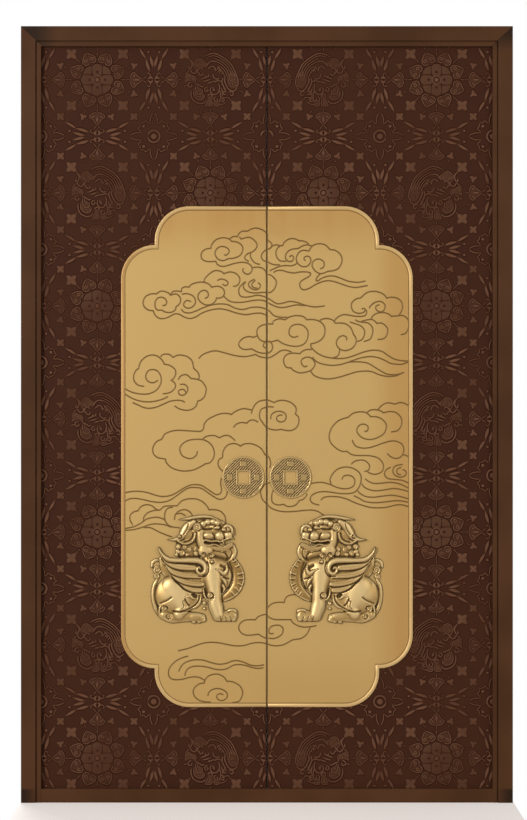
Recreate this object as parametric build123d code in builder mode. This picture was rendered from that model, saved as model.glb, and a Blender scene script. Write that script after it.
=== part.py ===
# A pair of cast-aluminium entrance door leaves in their frame, seen closed from the street side.
# X runs across the doorway, Y from the street side to the room side and Z up.
# The origin is at the middle of the threshold's underside, half way through the frame's depth.
# Both leaves open into the room. The left leaf opens first and holds the lock.

import os
from math import cos, pi, sin

from build123d import *

# Frame: three mitred profiles and a threshold
frame_width = 1520
frame_height = 2400
casing_width = 45
quirk_width = 3
quirk_depth = 4
bead_width = 14
bead_setback = 6
stop_depth = 24
frame_wall = 3
casing_round = 1.5
stop_width = casing_width + quirk_width + bead_width

# How the leaves sit in the frame
stop_lap = 10
edge_gap = 6
seal_gap = 3
leaf_thickness = 66
sill_height = 43
sill_lap = 8
sill_gap = 6
sill_round = 5

# Leaf build-up
front_skin = 5
back_skin = 3
hinge_stile_width = 60
meeting_stile_width = 100
rail_height = 80
stile_wall = 3

# Hinges
hinge_heights = (320, 1240, 2120)
hinge_height = 120
wing_width = 45
wing_thickness = 2.5
knuckle_radius = 7.5
knuckle_count = 5
knuckle_play = 0.4
pin_radius = 4
pin_play = 0.05
pin_cap_radius = 5.5
pin_cap_height = 3
axis_clearance = 0.5
seam_clearance = 1

# Gold cartouche on the two leaves
cartouche_half_width = 451.5
cartouche_bottom = 294.5
cartouche_height = 1550
cartouche_thickness = 3
notch_from_middle = 347.5
corner_radius = 108
corner_upright = 12
rim_width = 11.5
rim_height = 1.5
line_width = 2.5
line_depth = 1

# Brocade on the brown field: a square lattice of medallions
brocade_pitch = 350
brocade_foot = 136
brocade_relief = 1.2
rosette_radius = 87
rosette_waist = 66
roundel_radius = 80
star_radius = 62
star_waist = 24
ring_radius = 168
ring_width = 9
ring_flats = 20
rosette_eye = 26
brocade_margin = 2

# Coins and guardian beasts
coin_radius = 65
coin_from_seam = 73
coin_height = 1005
coin_thickness = 6
coin_rim = 5
coin_hole = 36
coin_hole_border = 4
coin_sink = 2
beast_relief = 20
beast_height = 335
beast_from_seam = 69
beast_foot = 554
oval_flats = 22
bow_flats = 6

# Lock in the left leaf, with its lever and thumb-turn on the room side
lock_height = 1005
lock_backset = 60
lock_centres = 72
case_depth = 80
case_thickness = 22
case_above = 60
case_below = 58
plate_width = 24
plate_thickness = 3
plate_overhang = 20
slide_play = 0.2
bolt_radius = 8
bolt_spacing = 24
bolt_throw = 20
bolt_length = 49
bolt_nose_setback = 0.5
tie_thickness = 4
tie_half_width = 3
latch_width = 16
latch_height = 20
latch_length = 37
latch_bevel = 9
hub_radius = 11
hub_play = 0.1
spindle_side = 8
spindle_play = 0.05
spindle_reach = 26
lever_radius = 9
lever_standoff = 48
lever_reach = 118
lever_bend = 14
backplate_width = 44
backplate_thickness = 9
backplate_margin = 42
turn_neck_radius = 7
turn_spindle_radius = 4.5
turn_standoff = 14
turn_bow_width = 36
turn_bow_height = 14
turn_bow_thickness = 14

# Flush bolts in the right leaf, and what they shoot into
flush_radius = 6
flush_play = 0.15
flush_throw = 20
flush_setback = 1
flush_case_length = 190
flush_case_thickness = 22
flush_case_depth = 24
flush_plate_width = 20
flush_thumb_from_end = 120
flush_thumb_height = 14
flush_thumb_width = 7.4
flush_tail = 50
keeper_flange = 12
keeper_flange_depth = 1.5
keeper_sleeve = 8
keeper_bore = 6.8
keeper_length = 6

# Seals
seal_root_width = 3.6
seal_root_depth = 4
seal_groove_width = 4
seal_groove_depth = 4.2
seal_bulb_width = 7
soft_clearance = 0.3
sweep_width = 8
sweep_from_front = 12
sweep_clearance = 0.5
sweep_end = 3
meeting_seal_width = 5
meeting_seal_from_front = 8
meeting_seal_thickness = 1.5

# Fixings through the jambs
fixing_radius = 5.5
fixing_outer_spacing = 2020
fixing_inner_spacing = 800

# Corner cleats inside the mitres
cleat_thickness = 10
cleat_arm = 110
cleat_play = 0.2

# Pressed line on the room side of each leaf
panel_line_inset = 110
panel_line_width = 8
panel_line_depth = 1.2
panel_break = 1150

# Worked out from the sizes above
frame_depth = stop_depth + seal_gap + leaf_thickness
front_y = -frame_depth / 2
stop_y = front_y + stop_depth
leaf_y = stop_y + seal_gap
back_y = leaf_y + leaf_thickness
inner_front = leaf_y + front_skin
inner_back = back_y - back_skin
middle_y = (inner_front + inner_back) / 2
rebate = stop_width - stop_lap - edge_gap
leaf_edge = frame_width / 2 - rebate - edge_gap
leaf_top = frame_height - rebate - edge_gap
leaf_bottom = sill_height - sill_lap
sill_floor = leaf_bottom - sill_gap
axis_x = leaf_edge + edge_gap / 2
axis_y = back_y + knuckle_radius + axis_clearance
sweep_depth = axis_y - leaf_y + cartouche_thickness + rim_height
seam_half = sweep_depth**2 / (4 * axis_x) + seam_clearance / 2
cartouche_y = leaf_y - cartouche_thickness
cartouche_top = cartouche_bottom + cartouche_height
lock_face = seam_half + plate_thickness
lever_x = seam_half + lock_backset
turn_height = lock_height - lock_centres
plate_top = lock_height + case_above + plate_overhang
plate_bottom = turn_height - case_below - plate_overhang
flush_x = lock_face + flush_case_depth / 2

os.makedirs("parts", exist_ok=True)


def front_plane(y):
    """A drawing plane facing the street, with X to the right and Z up."""
    return Plane(origin=(0, y, 0), x_dir=(1, 0, 0), z_dir=(0, -1, 0))


def back_plane(y):
    """A drawing plane with X to the right and Z up, whose extrusions go into the room."""
    return Plane(origin=(0, y, 0), x_dir=(-1, 0, 0), z_dir=(0, 1, 0))


def save(name, shape):
    """Labels one piece and writes it to its own file."""
    shape.label = name
    export_step(shape, f"parts/{name}.step")


def rectangle(low_x, high_x, low_z, high_z):
    """A rectangle given by its edges, in the sketch that is open."""
    with Locations(((low_x + high_x) / 2, (low_z + high_z) / 2)):
        Rectangle(high_x - low_x, high_z - low_z)


def slab(low, high, mode=Mode.ADD):
    """A box between two corners, in the part that is open."""
    size = [b - a for a, b in zip(low, high)]
    with Locations(tuple((a + b) / 2 for a, b in zip(low, high))):
        Box(*size, mode=mode)


def rod_x(start, length, y, z, radius, mode=Mode.ADD):
    """A round bar along X from start, in the part that is open."""
    with Locations(Location((start + length / 2, y, z), (0, 90, 0))):
        Cylinder(radius, abs(length), mode=mode)


def rod_y(x, start, end, z, radius, mode=Mode.ADD):
    """A round bar along Y, in the part that is open."""
    with Locations(Location((x, (start + end) / 2, z), (90, 0, 0))):
        Cylinder(radius, abs(end - start), mode=mode)


def rod_z(x, y, start, end, radius, mode=Mode.ADD):
    """A round bar along Z, in the part that is open."""
    with Locations((x, y, (start + end) / 2)):
        Cylinder(radius, abs(end - start), mode=mode)


def mirrored(shape):
    """The same piece on the other side of the seam."""
    with BuildPart() as other:
        mirror(shape, about=Plane.YZ)
    return other.part


# Frame profile: u runs in from the wall side, v from the street side to the room side
def frame_profile():
    """The jamb and head section: casing, quirk, bead, stop with its seal groove, and two chambers."""
    bead_edge = casing_width + quirk_width
    groove_middle = stop_width - stop_lap / 2
    groove_low = groove_middle - seal_groove_width / 2
    groove_high = groove_middle + seal_groove_width / 2
    with BuildSketch() as section:
        with BuildLine():
            Polyline(
                (0, 0),
                (casing_width, 0),
                (casing_width, bead_setback + quirk_depth),
                (bead_edge, bead_setback + quirk_depth),
                (bead_edge, bead_setback),
                (stop_width, bead_setback),
                (stop_width, stop_depth),
                (groove_high, stop_depth),
                (groove_high, stop_depth - seal_groove_depth),
                (groove_low, stop_depth - seal_groove_depth),
                (groove_low, stop_depth),
                (rebate, stop_depth),
                (rebate, frame_depth),
                (0, frame_depth),
                close=True,
            )
        make_face()
        shown = section.vertices().filter_by(lambda corner: corner.Y < bead_setback + quirk_depth / 2)
        fillet(shown, casing_round)
        with Locations((casing_width / 2, stop_depth / 2)):
            Rectangle(
                casing_width - 2 * frame_wall,
                stop_depth - 2 * frame_wall,
                mode=Mode.SUBTRACT,
            )
        with Locations((rebate / 2, (stop_depth + frame_depth - frame_wall) / 2)):
            Rectangle(
                rebate - 2 * frame_wall,
                frame_depth - frame_wall - stop_depth,
                mode=Mode.SUBTRACT,
            )
    return section.sketch


def build_frame():
    """Jambs and head with mitred corners, the threshold between them, cleats and seal."""
    half = frame_width / 2
    left_mitre = Plane(origin=(-half, 0, frame_height), z_dir=(1, 0, 1))
    right_mitre = Plane(origin=(half, 0, frame_height), z_dir=(-1, 0, 1))
    fixing_y = (stop_y + back_y) / 2
    fixing_heights = [
        frame_height / 2 + side * spacing / 2
        for spacing in (fixing_outer_spacing, fixing_inner_spacing)
        for side in (-1, 1)
    ]

    foot = Plane(origin=(-half, front_y, 0), x_dir=(1, 0, 0), z_dir=(0, 0, 1))
    with BuildPart() as left_jamb:
        with BuildSketch(foot):
            add(frame_profile())
        extrude(amount=frame_height)
        split(bisect_by=left_mitre, keep=Keep.BOTTOM)
        with BuildSketch(Plane.YZ.offset(-half)):
            with Locations(*[(fixing_y, height) for height in fixing_heights]):
                Circle(fixing_radius)
        extrude(amount=rebate, mode=Mode.SUBTRACT)
    save("left_jamb", left_jamb.part)
    save("right_jamb", mirrored(left_jamb.part))

    end = Plane(origin=(-half, front_y, frame_height), x_dir=(0, 0, -1), z_dir=(1, 0, 0))
    rebate_top = frame_height - rebate
    with BuildPart() as head_jamb:
        with BuildSketch(end):
            add(frame_profile())
        extrude(amount=frame_width)
        split(bisect_by=left_mitre, keep=Keep.TOP)
        split(bisect_by=right_mitre, keep=Keep.TOP)
        keeper_seat(rebate_top, 1)
    save("head_jamb", head_jamb.part)

    seal_z = sill_height - sill_lap / 2
    stop_face = stop_depth - seal_groove_depth
    with BuildPart() as threshold:
        with BuildSketch(Plane.YZ.offset(-half + rebate)) as section:
            with BuildLine():
                Polyline(
                    (front_y + bead_setback, 0),
                    (front_y + bead_setback, sill_height),
                    (stop_y, sill_height),
                    (stop_y, seal_z + seal_groove_width / 2),
                    (front_y + stop_face, seal_z + seal_groove_width / 2),
                    (front_y + stop_face, seal_z - seal_groove_width / 2),
                    (stop_y, seal_z - seal_groove_width / 2),
                    (stop_y, sill_floor),
                    (back_y, sill_floor),
                    (back_y, 0),
                    close=True,
                )
            make_face()
            nose = section.vertices().group_by(Axis.Z)[-1].sort_by(Axis.Y)[0]
            fillet(nose, sill_round)
            rectangle(
                front_y + bead_setback + frame_wall,
                front_y + stop_face - frame_wall,
                frame_wall,
                sill_height - frame_wall - casing_round,
            )
        extrude(amount=frame_width - 2 * rebate)
        slab(
            (-half, front_y + bead_setback + frame_wall, frame_wall),
            (half, front_y + stop_face - frame_wall, sill_height - 2 * frame_wall),
            mode=Mode.SUBTRACT,
        )
        slab(
            (-half, stop_y, frame_wall),
            (half, back_y - frame_wall, sill_floor - frame_wall),
            mode=Mode.SUBTRACT,
        )
        for side in (-1, 1):
            ends = sorted((side * half, side * (half - stop_width)))
            slab((ends[0], front_y, 0), (ends[1], stop_y, sill_height), mode=Mode.SUBTRACT)
        keeper_seat(sill_floor, -1)
    save("threshold", threshold.part)

    # Die-cast cleats lie in the rear chambers and pull the mitres together
    outer_x = half - frame_wall - cleat_play
    outer_z = frame_height - frame_wall - cleat_play
    with BuildPart() as left_cleat:
        with BuildSketch(front_plane(back_y - frame_wall - cleat_play)):
            rectangle(-outer_x, -outer_x + cleat_arm, outer_z - cleat_thickness, outer_z)
            rectangle(-outer_x, -outer_x + cleat_thickness, outer_z - cleat_arm, outer_z)
        extrude(amount=back_y - stop_y - frame_wall - 2 * cleat_play)
    save("left_corner_cleat", left_cleat.part)
    save("right_corner_cleat", mirrored(left_cleat.part))

    # One seal runs round all four sides, with its root in the grooves of the stops
    seal_x = half - stop_width + stop_lap / 2
    seal_top = frame_height - stop_width + stop_lap / 2
    bulb = seal_bulb_width / 2
    root = seal_root_width / 2
    with BuildPart() as frame_seal:
        with BuildSketch(front_plane(leaf_y - soft_clearance)) as ring:
            rectangle(-seal_x - bulb, seal_x + bulb, seal_z - bulb, seal_top + bulb)
            with Locations((0, (seal_z + seal_top) / 2)):
                Rectangle(
                    2 * (seal_x - bulb),
                    seal_top - seal_z - 2 * bulb,
                    mode=Mode.SUBTRACT,
                )
        extrude(amount=seal_gap - soft_clearance)
        with BuildSketch(front_plane(stop_y)):
            rectangle(-seal_x - root, -seal_x + root, seal_z, seal_top + root)
            rectangle(seal_x - root, seal_x + root, seal_z, seal_top + root)
            rectangle(-seal_x, seal_x, seal_top - root, seal_top + root)
            rectangle(
                stop_width - half + soft_clearance,
                half - stop_width - soft_clearance,
                seal_z - root,
                seal_z + root,
            )
        extrude(amount=seal_root_depth)
    save("frame_seal", frame_seal.part)


def keeper_seat(surface, upward):
    """The stepped hole that a keeper sits in, cut into the part that is open."""
    rod_z(flush_x, middle_y, surface, surface + upward * keeper_flange_depth, keeper_flange, Mode.SUBTRACT)
    rod_z(flush_x, middle_y, surface, surface + upward * frame_wall, keeper_sleeve, Mode.SUBTRACT)


def build_keepers():
    """Flanged bushes in the head and the threshold, which the flush bolts shoot into."""
    seats = {"head_keeper": (frame_height - rebate, 1), "sill_keeper": (sill_floor, -1)}
    for name, (surface, upward) in seats.items():
        with BuildPart() as keeper:
            rod_z(flush_x, middle_y, surface, surface + upward * keeper_flange_depth, keeper_flange)
            rod_z(flush_x, middle_y, surface, surface + upward * keeper_length, keeper_sleeve)
            rod_z(flush_x, middle_y, surface, surface + upward * keeper_length, keeper_bore, Mode.SUBTRACT)
        save(name, keeper.part)


def knuckle_spans(height, first):
    """Every other knuckle of one hinge, as (bottom, top), starting from the first or the second."""
    pitch = hinge_height / knuckle_count
    bottom = height - hinge_height / 2
    spans = []
    for index in range(first, knuckle_count, 2):
        low = bottom + index * pitch + (knuckle_play / 2 if index else 0)
        high = bottom + (index + 1) * pitch - (knuckle_play / 2 if index < knuckle_count - 1 else 0)
        spans.append((low, high))
    return spans


def build_hinges():
    """Three butt hinges on each side: wings in the gap, knuckles behind the leaf, one pin each."""
    outer_face = leaf_edge + edge_gap
    with BuildPart() as frame_wings:
        for height in hinge_heights:
            slab(
                (-outer_face, back_y - wing_width, height - hinge_height / 2),
                (-outer_face + wing_thickness, back_y, height + hinge_height / 2),
            )
            for low, high in knuckle_spans(height, 0):
                slab((-outer_face, back_y, low), (-outer_face + wing_thickness, axis_y, high))
                rod_z(-axis_x, axis_y, low, high, knuckle_radius)
                rod_z(-axis_x, axis_y, low, high, pin_radius, Mode.SUBTRACT)
    save("left_hinge_frame_wings", frame_wings.part)
    save("right_hinge_frame_wings", mirrored(frame_wings.part))

    with BuildPart() as leaf_wings:
        for height in hinge_heights:
            slab(
                (-leaf_edge - wing_thickness, back_y - wing_width, height - hinge_height / 2),
                (-leaf_edge, back_y, height + hinge_height / 2),
            )
            for low, high in knuckle_spans(height, 1):
                slab((-leaf_edge - wing_thickness, back_y, low), (-leaf_edge, axis_y, high))
                rod_z(-axis_x, axis_y, low, high, knuckle_radius)
                rod_z(-axis_x, axis_y, low, high, pin_radius + pin_play, Mode.SUBTRACT)
    save("left_hinge_leaf_wings", leaf_wings.part)
    save("right_hinge_leaf_wings", mirrored(leaf_wings.part))

    with BuildPart() as pins:
        for height in hinge_heights:
            low = height - hinge_height / 2
            high = height + hinge_height / 2
            rod_z(-axis_x, axis_y, low, high, pin_radius)
            rod_z(-axis_x, axis_y, high, high + pin_cap_height, pin_cap_radius)
            rod_z(-axis_x, axis_y, low - pin_cap_height, low, pin_cap_radius)
    save("left_hinge_pins", pins.part)
    save("right_hinge_pins", mirrored(pins.part))


def cartouche_outline(inset):
    """The whole cartouche, drawn inset from its edge, with a round lobe and a notch at each corner."""
    top = cartouche_top
    side_radius = cartouche_half_width - notch_from_middle
    arc_start = notch_from_middle - corner_radius
    notch_x = notch_from_middle - inset
    notch_z = top - corner_radius - corner_upright
    edge = cartouche_half_width - inset
    middle = cartouche_bottom + cartouche_height / 2
    with BuildSketch() as outline:
        with BuildLine() as quarter:
            Line((0, top - inset), (arc_start, top - inset))
            CenterArc((arc_start, top - corner_radius), corner_radius - inset, 90, -90)
            Line((notch_x, top - corner_radius), (notch_x, notch_z - inset))
            if inset:
                Line((notch_x, notch_z - inset), (notch_from_middle, notch_z - inset))
            CenterArc((notch_from_middle, notch_z - side_radius), side_radius - inset, 90, -90)
            Line((edge, notch_z - side_radius), (edge, middle))
            Line((edge, middle), (0, middle))
            Line((0, middle), (0, top - inset))
        make_face()
        mirror(about=Plane.YZ)
        mirror(about=Plane.XZ.offset(-middle))
    return outline.sketch


def half_cartouche(inset, hole_inset=None):
    """The left half of the cartouche as a face, or of a band between two insets."""
    with BuildSketch() as half:
        add(cartouche_outline(inset))
        if hole_inset is not None:
            add(cartouche_outline(hole_inset), mode=Mode.SUBTRACT)
        with Locations((-seam_half - frame_width / 2, frame_height / 2)):
            Rectangle(frame_width, frame_height, mode=Mode.INTERSECT)
    return half.sketch


def build_cartouche():
    """The gold plate of one leaf: a flat field with a raised rim and a cut line inside it."""
    with BuildPart() as plate:
        with BuildSketch(front_plane(leaf_y)):
            add(half_cartouche(0))
        extrude(amount=cartouche_thickness)
        with BuildSketch(front_plane(cartouche_y)):
            add(half_cartouche(0, rim_width))
        extrude(amount=rim_height)
        with BuildSketch(front_plane(cartouche_y)):
            add(half_cartouche(rim_width, rim_width + line_width))
        extrude(amount=-line_depth, mode=Mode.SUBTRACT)
    save("left_cartouche", plate.part)
    save("right_cartouche", mirrored(plate.part))


def star(radius, waist, points, turn):
    """A flower with straight-sided petals, in the sketch that is open."""
    with PolarLocations(0, points, start_angle=turn):
        side = 180 / points
        tip = Vector(radius, 0)
        low = Vector(waist, 0).rotate(Axis.Z, -side)
        high = Vector(waist, 0).rotate(Axis.Z, side)
        Polygon((0, 0), tuple(low)[:2], tuple(tip)[:2], tuple(high)[:2], align=None)


def build_field():
    """The brown front plate of one leaf, cast with rosettes, roundels and stars on a square lattice."""
    shown_edge = frame_width / 2 - stop_width - brocade_margin
    shown_top = frame_height - stop_width - brocade_margin
    shown_bottom = sill_height + brocade_margin
    rows = int((shown_top - brocade_foot) / brocade_pitch + 1.5)
    with BuildPart() as field:
        slab((-leaf_edge, leaf_y, leaf_bottom), (-seam_half, inner_front, leaf_top))
        with BuildSketch(front_plane(leaf_y)) as motifs:
            for row in range(rows):
                height = brocade_foot + row * brocade_pitch
                for column in (0, 1):
                    across = -(column + 0.5) * brocade_pitch
                    with Locations((across, height)):
                        RegularPolygon(ring_radius, ring_flats)
                        RegularPolygon(ring_radius - ring_width, ring_flats, mode=Mode.SUBTRACT)
                        if (row + column) % 2:
                            star(rosette_radius, rosette_waist, 8, 22.5)
                            RegularPolygon(rosette_eye, 8, mode=Mode.SUBTRACT)
                        else:
                            RegularPolygon(roundel_radius, 16)
                for column in (0, 1, 2):
                    with Locations((-column * brocade_pitch, height + brocade_pitch / 2)):
                        star(star_radius, star_waist, 4, 0)
            add(cartouche_outline(-soft_clearance), mode=Mode.SUBTRACT)
            with Locations(
                ((-shown_edge - seam_half) / 2, (shown_top + shown_bottom) / 2)
            ):
                Rectangle(
                    shown_edge - seam_half,
                    shown_top - shown_bottom,
                    mode=Mode.INTERSECT,
                )
        extrude(amount=brocade_relief)
    save("left_field_panel", field.part)
    save("right_field_panel", mirrored(field.part))


def build_coin():
    """A round coin with a square hole, a rim and four blank bosses, standing on the gold plate."""
    middle = (-coin_from_seam, coin_height)
    with BuildPart() as coin:
        with BuildSketch(front_plane(cartouche_y)):
            with Locations(middle):
                Circle(coin_radius)
                Rectangle(coin_hole, coin_hole, mode=Mode.SUBTRACT)
        extrude(amount=coin_thickness)
        with BuildSketch(front_plane(cartouche_y - coin_thickness)):
            with Locations(middle):
                border = coin_hole + 2 * coin_hole_border
                Circle(coin_radius - coin_rim)
                Rectangle(border, border, mode=Mode.SUBTRACT)
                boss_radius = (coin_radius - coin_rim + border / 2) / 2
                with PolarLocations(boss_radius, 4):
                    RegularPolygon(coin_sink * 4, 4, mode=Mode.SUBTRACT)
        extrude(amount=-coin_sink, mode=Mode.SUBTRACT)
    save("left_coin", coin.part)
    save("right_coin", mirrored(coin.part))


def on_beast(across, up):
    """A place on the right beast, from points drawn in mm on one 335 mm high."""
    grow = beast_height / 335
    return (beast_from_seam + across * grow, beast_foot + up * grow)


def bow(start, bend, end):
    """Points along an arc on the beast, a few flats apart, from its start up to but without its end."""
    arc = Edge.make_three_point_arc(*[on_beast(*point) for point in (start, bend, end)])
    return [tuple(arc @ (step / bow_flats))[:2] for step in range(bow_flats)]


def blade(root, bend, tip, return_bend):
    """A leaf shape between two arcs that share their ends, in the sketch that is open."""
    Polygon(*bow(root, bend, tip), *bow(tip, return_bend, root), align=None)


def feather(upper, lower):
    """The strip between two arcs that run the same way, in the sketch that is open."""
    ends = [on_beast(*upper[2]), on_beast(*lower[0])]
    Polygon(*bow(*upper), ends[0], *bow(*reversed(lower)), ends[1], align=None)


def oval(across, up, width, height):
    """An ellipse on the beast, cut in flats as a carver leaves it, in the sketch that is open."""
    turns = [2 * pi * step / oval_flats for step in range(oval_flats)]
    around = [on_beast(across + width / 2 * cos(turn), up + height / 2 * sin(turn)) for turn in turns]
    Polygon(*around, align=None)


def curls(*places):
    """Round locks of hair, each given by its place and its radius, in the sketch that is open."""
    grow = beast_height / 335
    for across, up, radius in places:
        with Locations(on_beast(across, up)):
            RegularPolygon(radius * grow, oval_flats // 2)


def layer(share):
    """Raises the sketch just drawn to a share of the beast's relief."""
    extrude(amount=share * beast_relief)


def build_beast():
    """A seated, winged guardian beast that looks towards the seam, built up from flat to high."""
    face = front_plane(cartouche_y)
    with BuildPart() as beast:
        # Breastplate with its scalloped edge, tail and the strip down the back
        with BuildSketch(face):
            blade((33, 206), (2, 140), (70, 66), (52, 140))
            blade((262, 156), (291, 90), (250, 8), (268, 90))
            curls((26, 195, 8), (12, 176, 8), (6, 152, 8), (7, 128, 8))
            curls((17, 106, 8), (33, 89, 8), (52, 76, 8))
            oval(278, 184, 30, 34)
        layer(0.35)
        # Body, neck and the hind leg under the haunch
        with BuildSketch(face):
            oval(140, 140, 200, 130)
            oval(96, 190, 90, 80)
            oval(172, 286, 56, 84)
            oval(192, 228, 62, 46)
            oval(235, 34, 60, 66)
        layer(0.5)
        # Hind foot and its toes
        with BuildSketch(face):
            oval(178, 21, 128, 42)
            curls((124, 14, 12), (143, 12, 12), (163, 12, 12))
        layer(0.6)
        # Haunch
        with BuildSketch(face):
            oval(206, 84, 128, 140)
        layer(0.62)
        # Foreleg, shoulder and paw
        with BuildSketch(face):
            shin = bow((96, 12), (104, 60), (124, 96)) + bow((124, 96), (118, 144), (76, 172))
            chest = bow((76, 172), (42, 146), (64, 108)) + bow((64, 108), (77, 72), (72, 12))
            Polygon(*shin, *chest, on_beast(72, 12), align=None)
            oval(57, 21, 78, 34)
            curls((28, 15, 9), (43, 12, 9), (60, 12, 9))
        layer(0.7)
        # Mane: crest, two long locks, the lock behind the ear and the small curls
        with BuildSketch(face):
            blade((98, 318), (150, 338), (196, 332), (150, 316))
            blade((176, 326), (203, 280), (241, 283), (184, 258))
            blade((158, 318), (190, 264), (240, 263), (168, 244))
            blade((148, 312), (166, 268), (196, 246), (146, 250))
            curls((166, 228, 10), (181, 238, 10), (203, 241, 11))
            curls((193, 219, 11), (209, 226, 9), (216, 209, 6))
        layer(0.65)
        # Wing: five long feathers, each stepped below the one above it
        edges = (
            ((131, 196), (221, 203), (266, 238)),
            ((140, 188), (221, 187), (262, 224)),
            ((146, 163), (216, 170), (258, 210)),
            ((136, 138), (206, 146), (254, 190)),
            ((126, 113), (191, 124), (246, 172)),
            ((131, 91), (186, 107), (236, 156)),
        )
        for index, (upper, lower) in enumerate(zip(edges, edges[1:])):
            with BuildSketch(face):
                feather(upper, lower)
            layer(0.95 - 0.07 * index)
        # Head: skull, cheek, jaw and jowl, then the muzzle, brow and scrolls
        with BuildSketch(face):
            oval(122, 274, 104, 96)
            oval(122, 232, 66, 46)
            oval(70, 238, 84, 34)
            oval(101, 206, 26, 26)
            curls((51, 231, 9), (66, 228, 9), (81, 228, 9), (96, 188, 8))
        layer(0.8)
        with BuildSketch(face):
            oval(60, 282, 66, 50)
            oval(43, 297, 26, 26)
            oval(104, 272, 60, 34)
            oval(101, 310, 70, 24)
        layer(0.92)
        # The mouth is cut in, with its round corner
        with BuildSketch(front_plane(cartouche_y - beast_relief)):
            oval(84, 252, 76, 7)
            oval(116, 252, 20, 13)
        extrude(amount=-beast_relief / 2, mode=Mode.SUBTRACT)
        # Highest: nostril, eye, brow scroll, wing scroll, elbow, knee and tail curls
        with BuildSketch(face):
            curls((59, 291, 6), (82, 297, 6), (143, 296, 14), (106, 86, 15), (245, 46, 10), (231, 21, 9))
            curls((266, 166, 14), (270, 147, 9))
            oval(139, 171, 50, 50)
        layer(0.97)
        # The wing's scroll is sunk round a high eye
        with BuildSketch(front_plane(cartouche_y - beast_relief)):
            oval(139, 171, 34, 34)
        extrude(amount=-beast_relief / 3, mode=Mode.SUBTRACT)
        with BuildSketch(face):
            oval(142, 169, 16, 16)
        layer(0.9)
    save("right_beast", beast.part)
    save("left_beast", mirrored(beast.part))


def leaf_tube(low_x, high_x, low_z, high_z, along_z):
    """A hollow stile or rail between the skins, in the part that is open."""
    slab((low_x, inner_front, low_z), (high_x, inner_back, high_z))
    if along_z:
        low = (low_x + stile_wall, inner_front + stile_wall, low_z)
        high = (high_x - stile_wall, inner_back - stile_wall, high_z)
    else:
        low = (low_x, inner_front + stile_wall, low_z + stile_wall)
        high = (high_x, inner_back - stile_wall, high_z - stile_wall)
    slab(low, high, mode=Mode.SUBTRACT)


def build_leaf_frame():
    """Stiles, rails, core, room-side skin and bottom sweep of both leaves."""
    hinge_inner = leaf_edge - hinge_stile_width
    meeting_inner = seam_half + meeting_stile_width
    with BuildPart() as hinge_stile:
        leaf_tube(-leaf_edge, -hinge_inner, leaf_bottom, leaf_top, True)
    save("left_hinge_stile", hinge_stile.part)
    save("right_hinge_stile", mirrored(hinge_stile.part))

    plate_low = (middle_y - plate_width / 2, plate_bottom)
    plate_high = (middle_y + plate_width / 2, plate_top)
    with BuildPart() as meeting_stile:
        leaf_tube(-meeting_inner, -seam_half, leaf_bottom, leaf_top, True)
        slab(
            (-lock_face, plate_low[0], plate_low[1]),
            (-seam_half, plate_high[0], plate_high[1]),
            mode=Mode.SUBTRACT,
        )
    with BuildPart() as left_meeting_stile:
        add(meeting_stile.part)
        through = inner_back - stile_wall
        rod_y(-lever_x, through, inner_back, lock_height, lever_radius, Mode.SUBTRACT)
        rod_y(-lever_x, through, inner_back, turn_height, turn_neck_radius, Mode.SUBTRACT)
    save("left_meeting_stile", left_meeting_stile.part)

    half_plate = flush_plate_width / 2
    window = flush_case_length + plate_overhang
    with BuildPart() as right_meeting_stile:
        mirror(meeting_stile.part, about=Plane.YZ)
        for low, high in ((leaf_bottom, leaf_bottom + window), (leaf_top - window, leaf_top)):
            slab(
                (seam_half, middle_y - half_plate, low),
                (lock_face, middle_y + half_plate, high),
                mode=Mode.SUBTRACT,
            )
    save("right_meeting_stile", right_meeting_stile.part)

    for name, low, high in (
        ("top_rail", leaf_top - rail_height, leaf_top),
        ("bottom_rail", leaf_bottom, leaf_bottom + rail_height),
    ):
        with BuildPart() as rail:
            leaf_tube(-hinge_inner, -meeting_inner, low, high, False)
        save(f"left_{name}", rail.part)
        save(f"right_{name}", mirrored(rail.part))

    with BuildPart() as core:
        slab(
            (-hinge_inner, inner_front, leaf_bottom + rail_height),
            (-meeting_inner, inner_back, leaf_top - rail_height),
        )
    save("left_core", core.part)
    save("right_core", mirrored(core.part))

    line_low_x = leaf_edge - panel_line_inset
    line_high_x = seam_half + panel_line_inset
    panels = (
        (leaf_bottom + panel_line_inset, panel_break - panel_line_inset / 2),
        (panel_break + panel_line_inset / 2, leaf_top - panel_line_inset),
    )
    with BuildPart() as skin:
        slab((-leaf_edge, inner_back, leaf_bottom), (-seam_half, back_y, leaf_top))
        with BuildSketch(Plane.XZ.offset(-back_y)) as lines:
            for low, high in panels:
                width = line_low_x - line_high_x
                with Locations((-(line_low_x + line_high_x) / 2, (low + high) / 2)):
                    Rectangle(width, high - low)
                    Rectangle(
                        width - 2 * panel_line_width,
                        high - low - 2 * panel_line_width,
                        mode=Mode.SUBTRACT,
                    )
        extrude(amount=panel_line_depth, mode=Mode.SUBTRACT)
    save("right_back_skin", mirrored(skin.part))
    with BuildPart() as left_skin:
        add(skin.part)
        rod_y(-lever_x, inner_back, back_y, lock_height, lever_radius, Mode.SUBTRACT)
        rod_y(-lever_x, inner_back, back_y, turn_height, turn_neck_radius, Mode.SUBTRACT)
    save("left_back_skin", left_skin.part)

    sweep_y = leaf_y + sweep_from_front
    with BuildPart() as sweep_strip:
        slab(
            (-leaf_edge + sweep_end, sweep_y - sweep_width / 2, sill_floor + sweep_clearance),
            (-seam_half - sweep_end, sweep_y + sweep_width / 2, leaf_bottom),
        )
    save("left_bottom_seal", sweep_strip.part)
    save("right_bottom_seal", mirrored(sweep_strip.part))

    seal_y = leaf_y + meeting_seal_from_front
    with BuildPart() as meeting_seal:
        slab(
            (-seam_half, seal_y - meeting_seal_width / 2, leaf_bottom),
            (-seam_half + meeting_seal_thickness, seal_y + meeting_seal_width / 2, leaf_top),
        )
    save("meeting_seal", meeting_seal.part)


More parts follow.
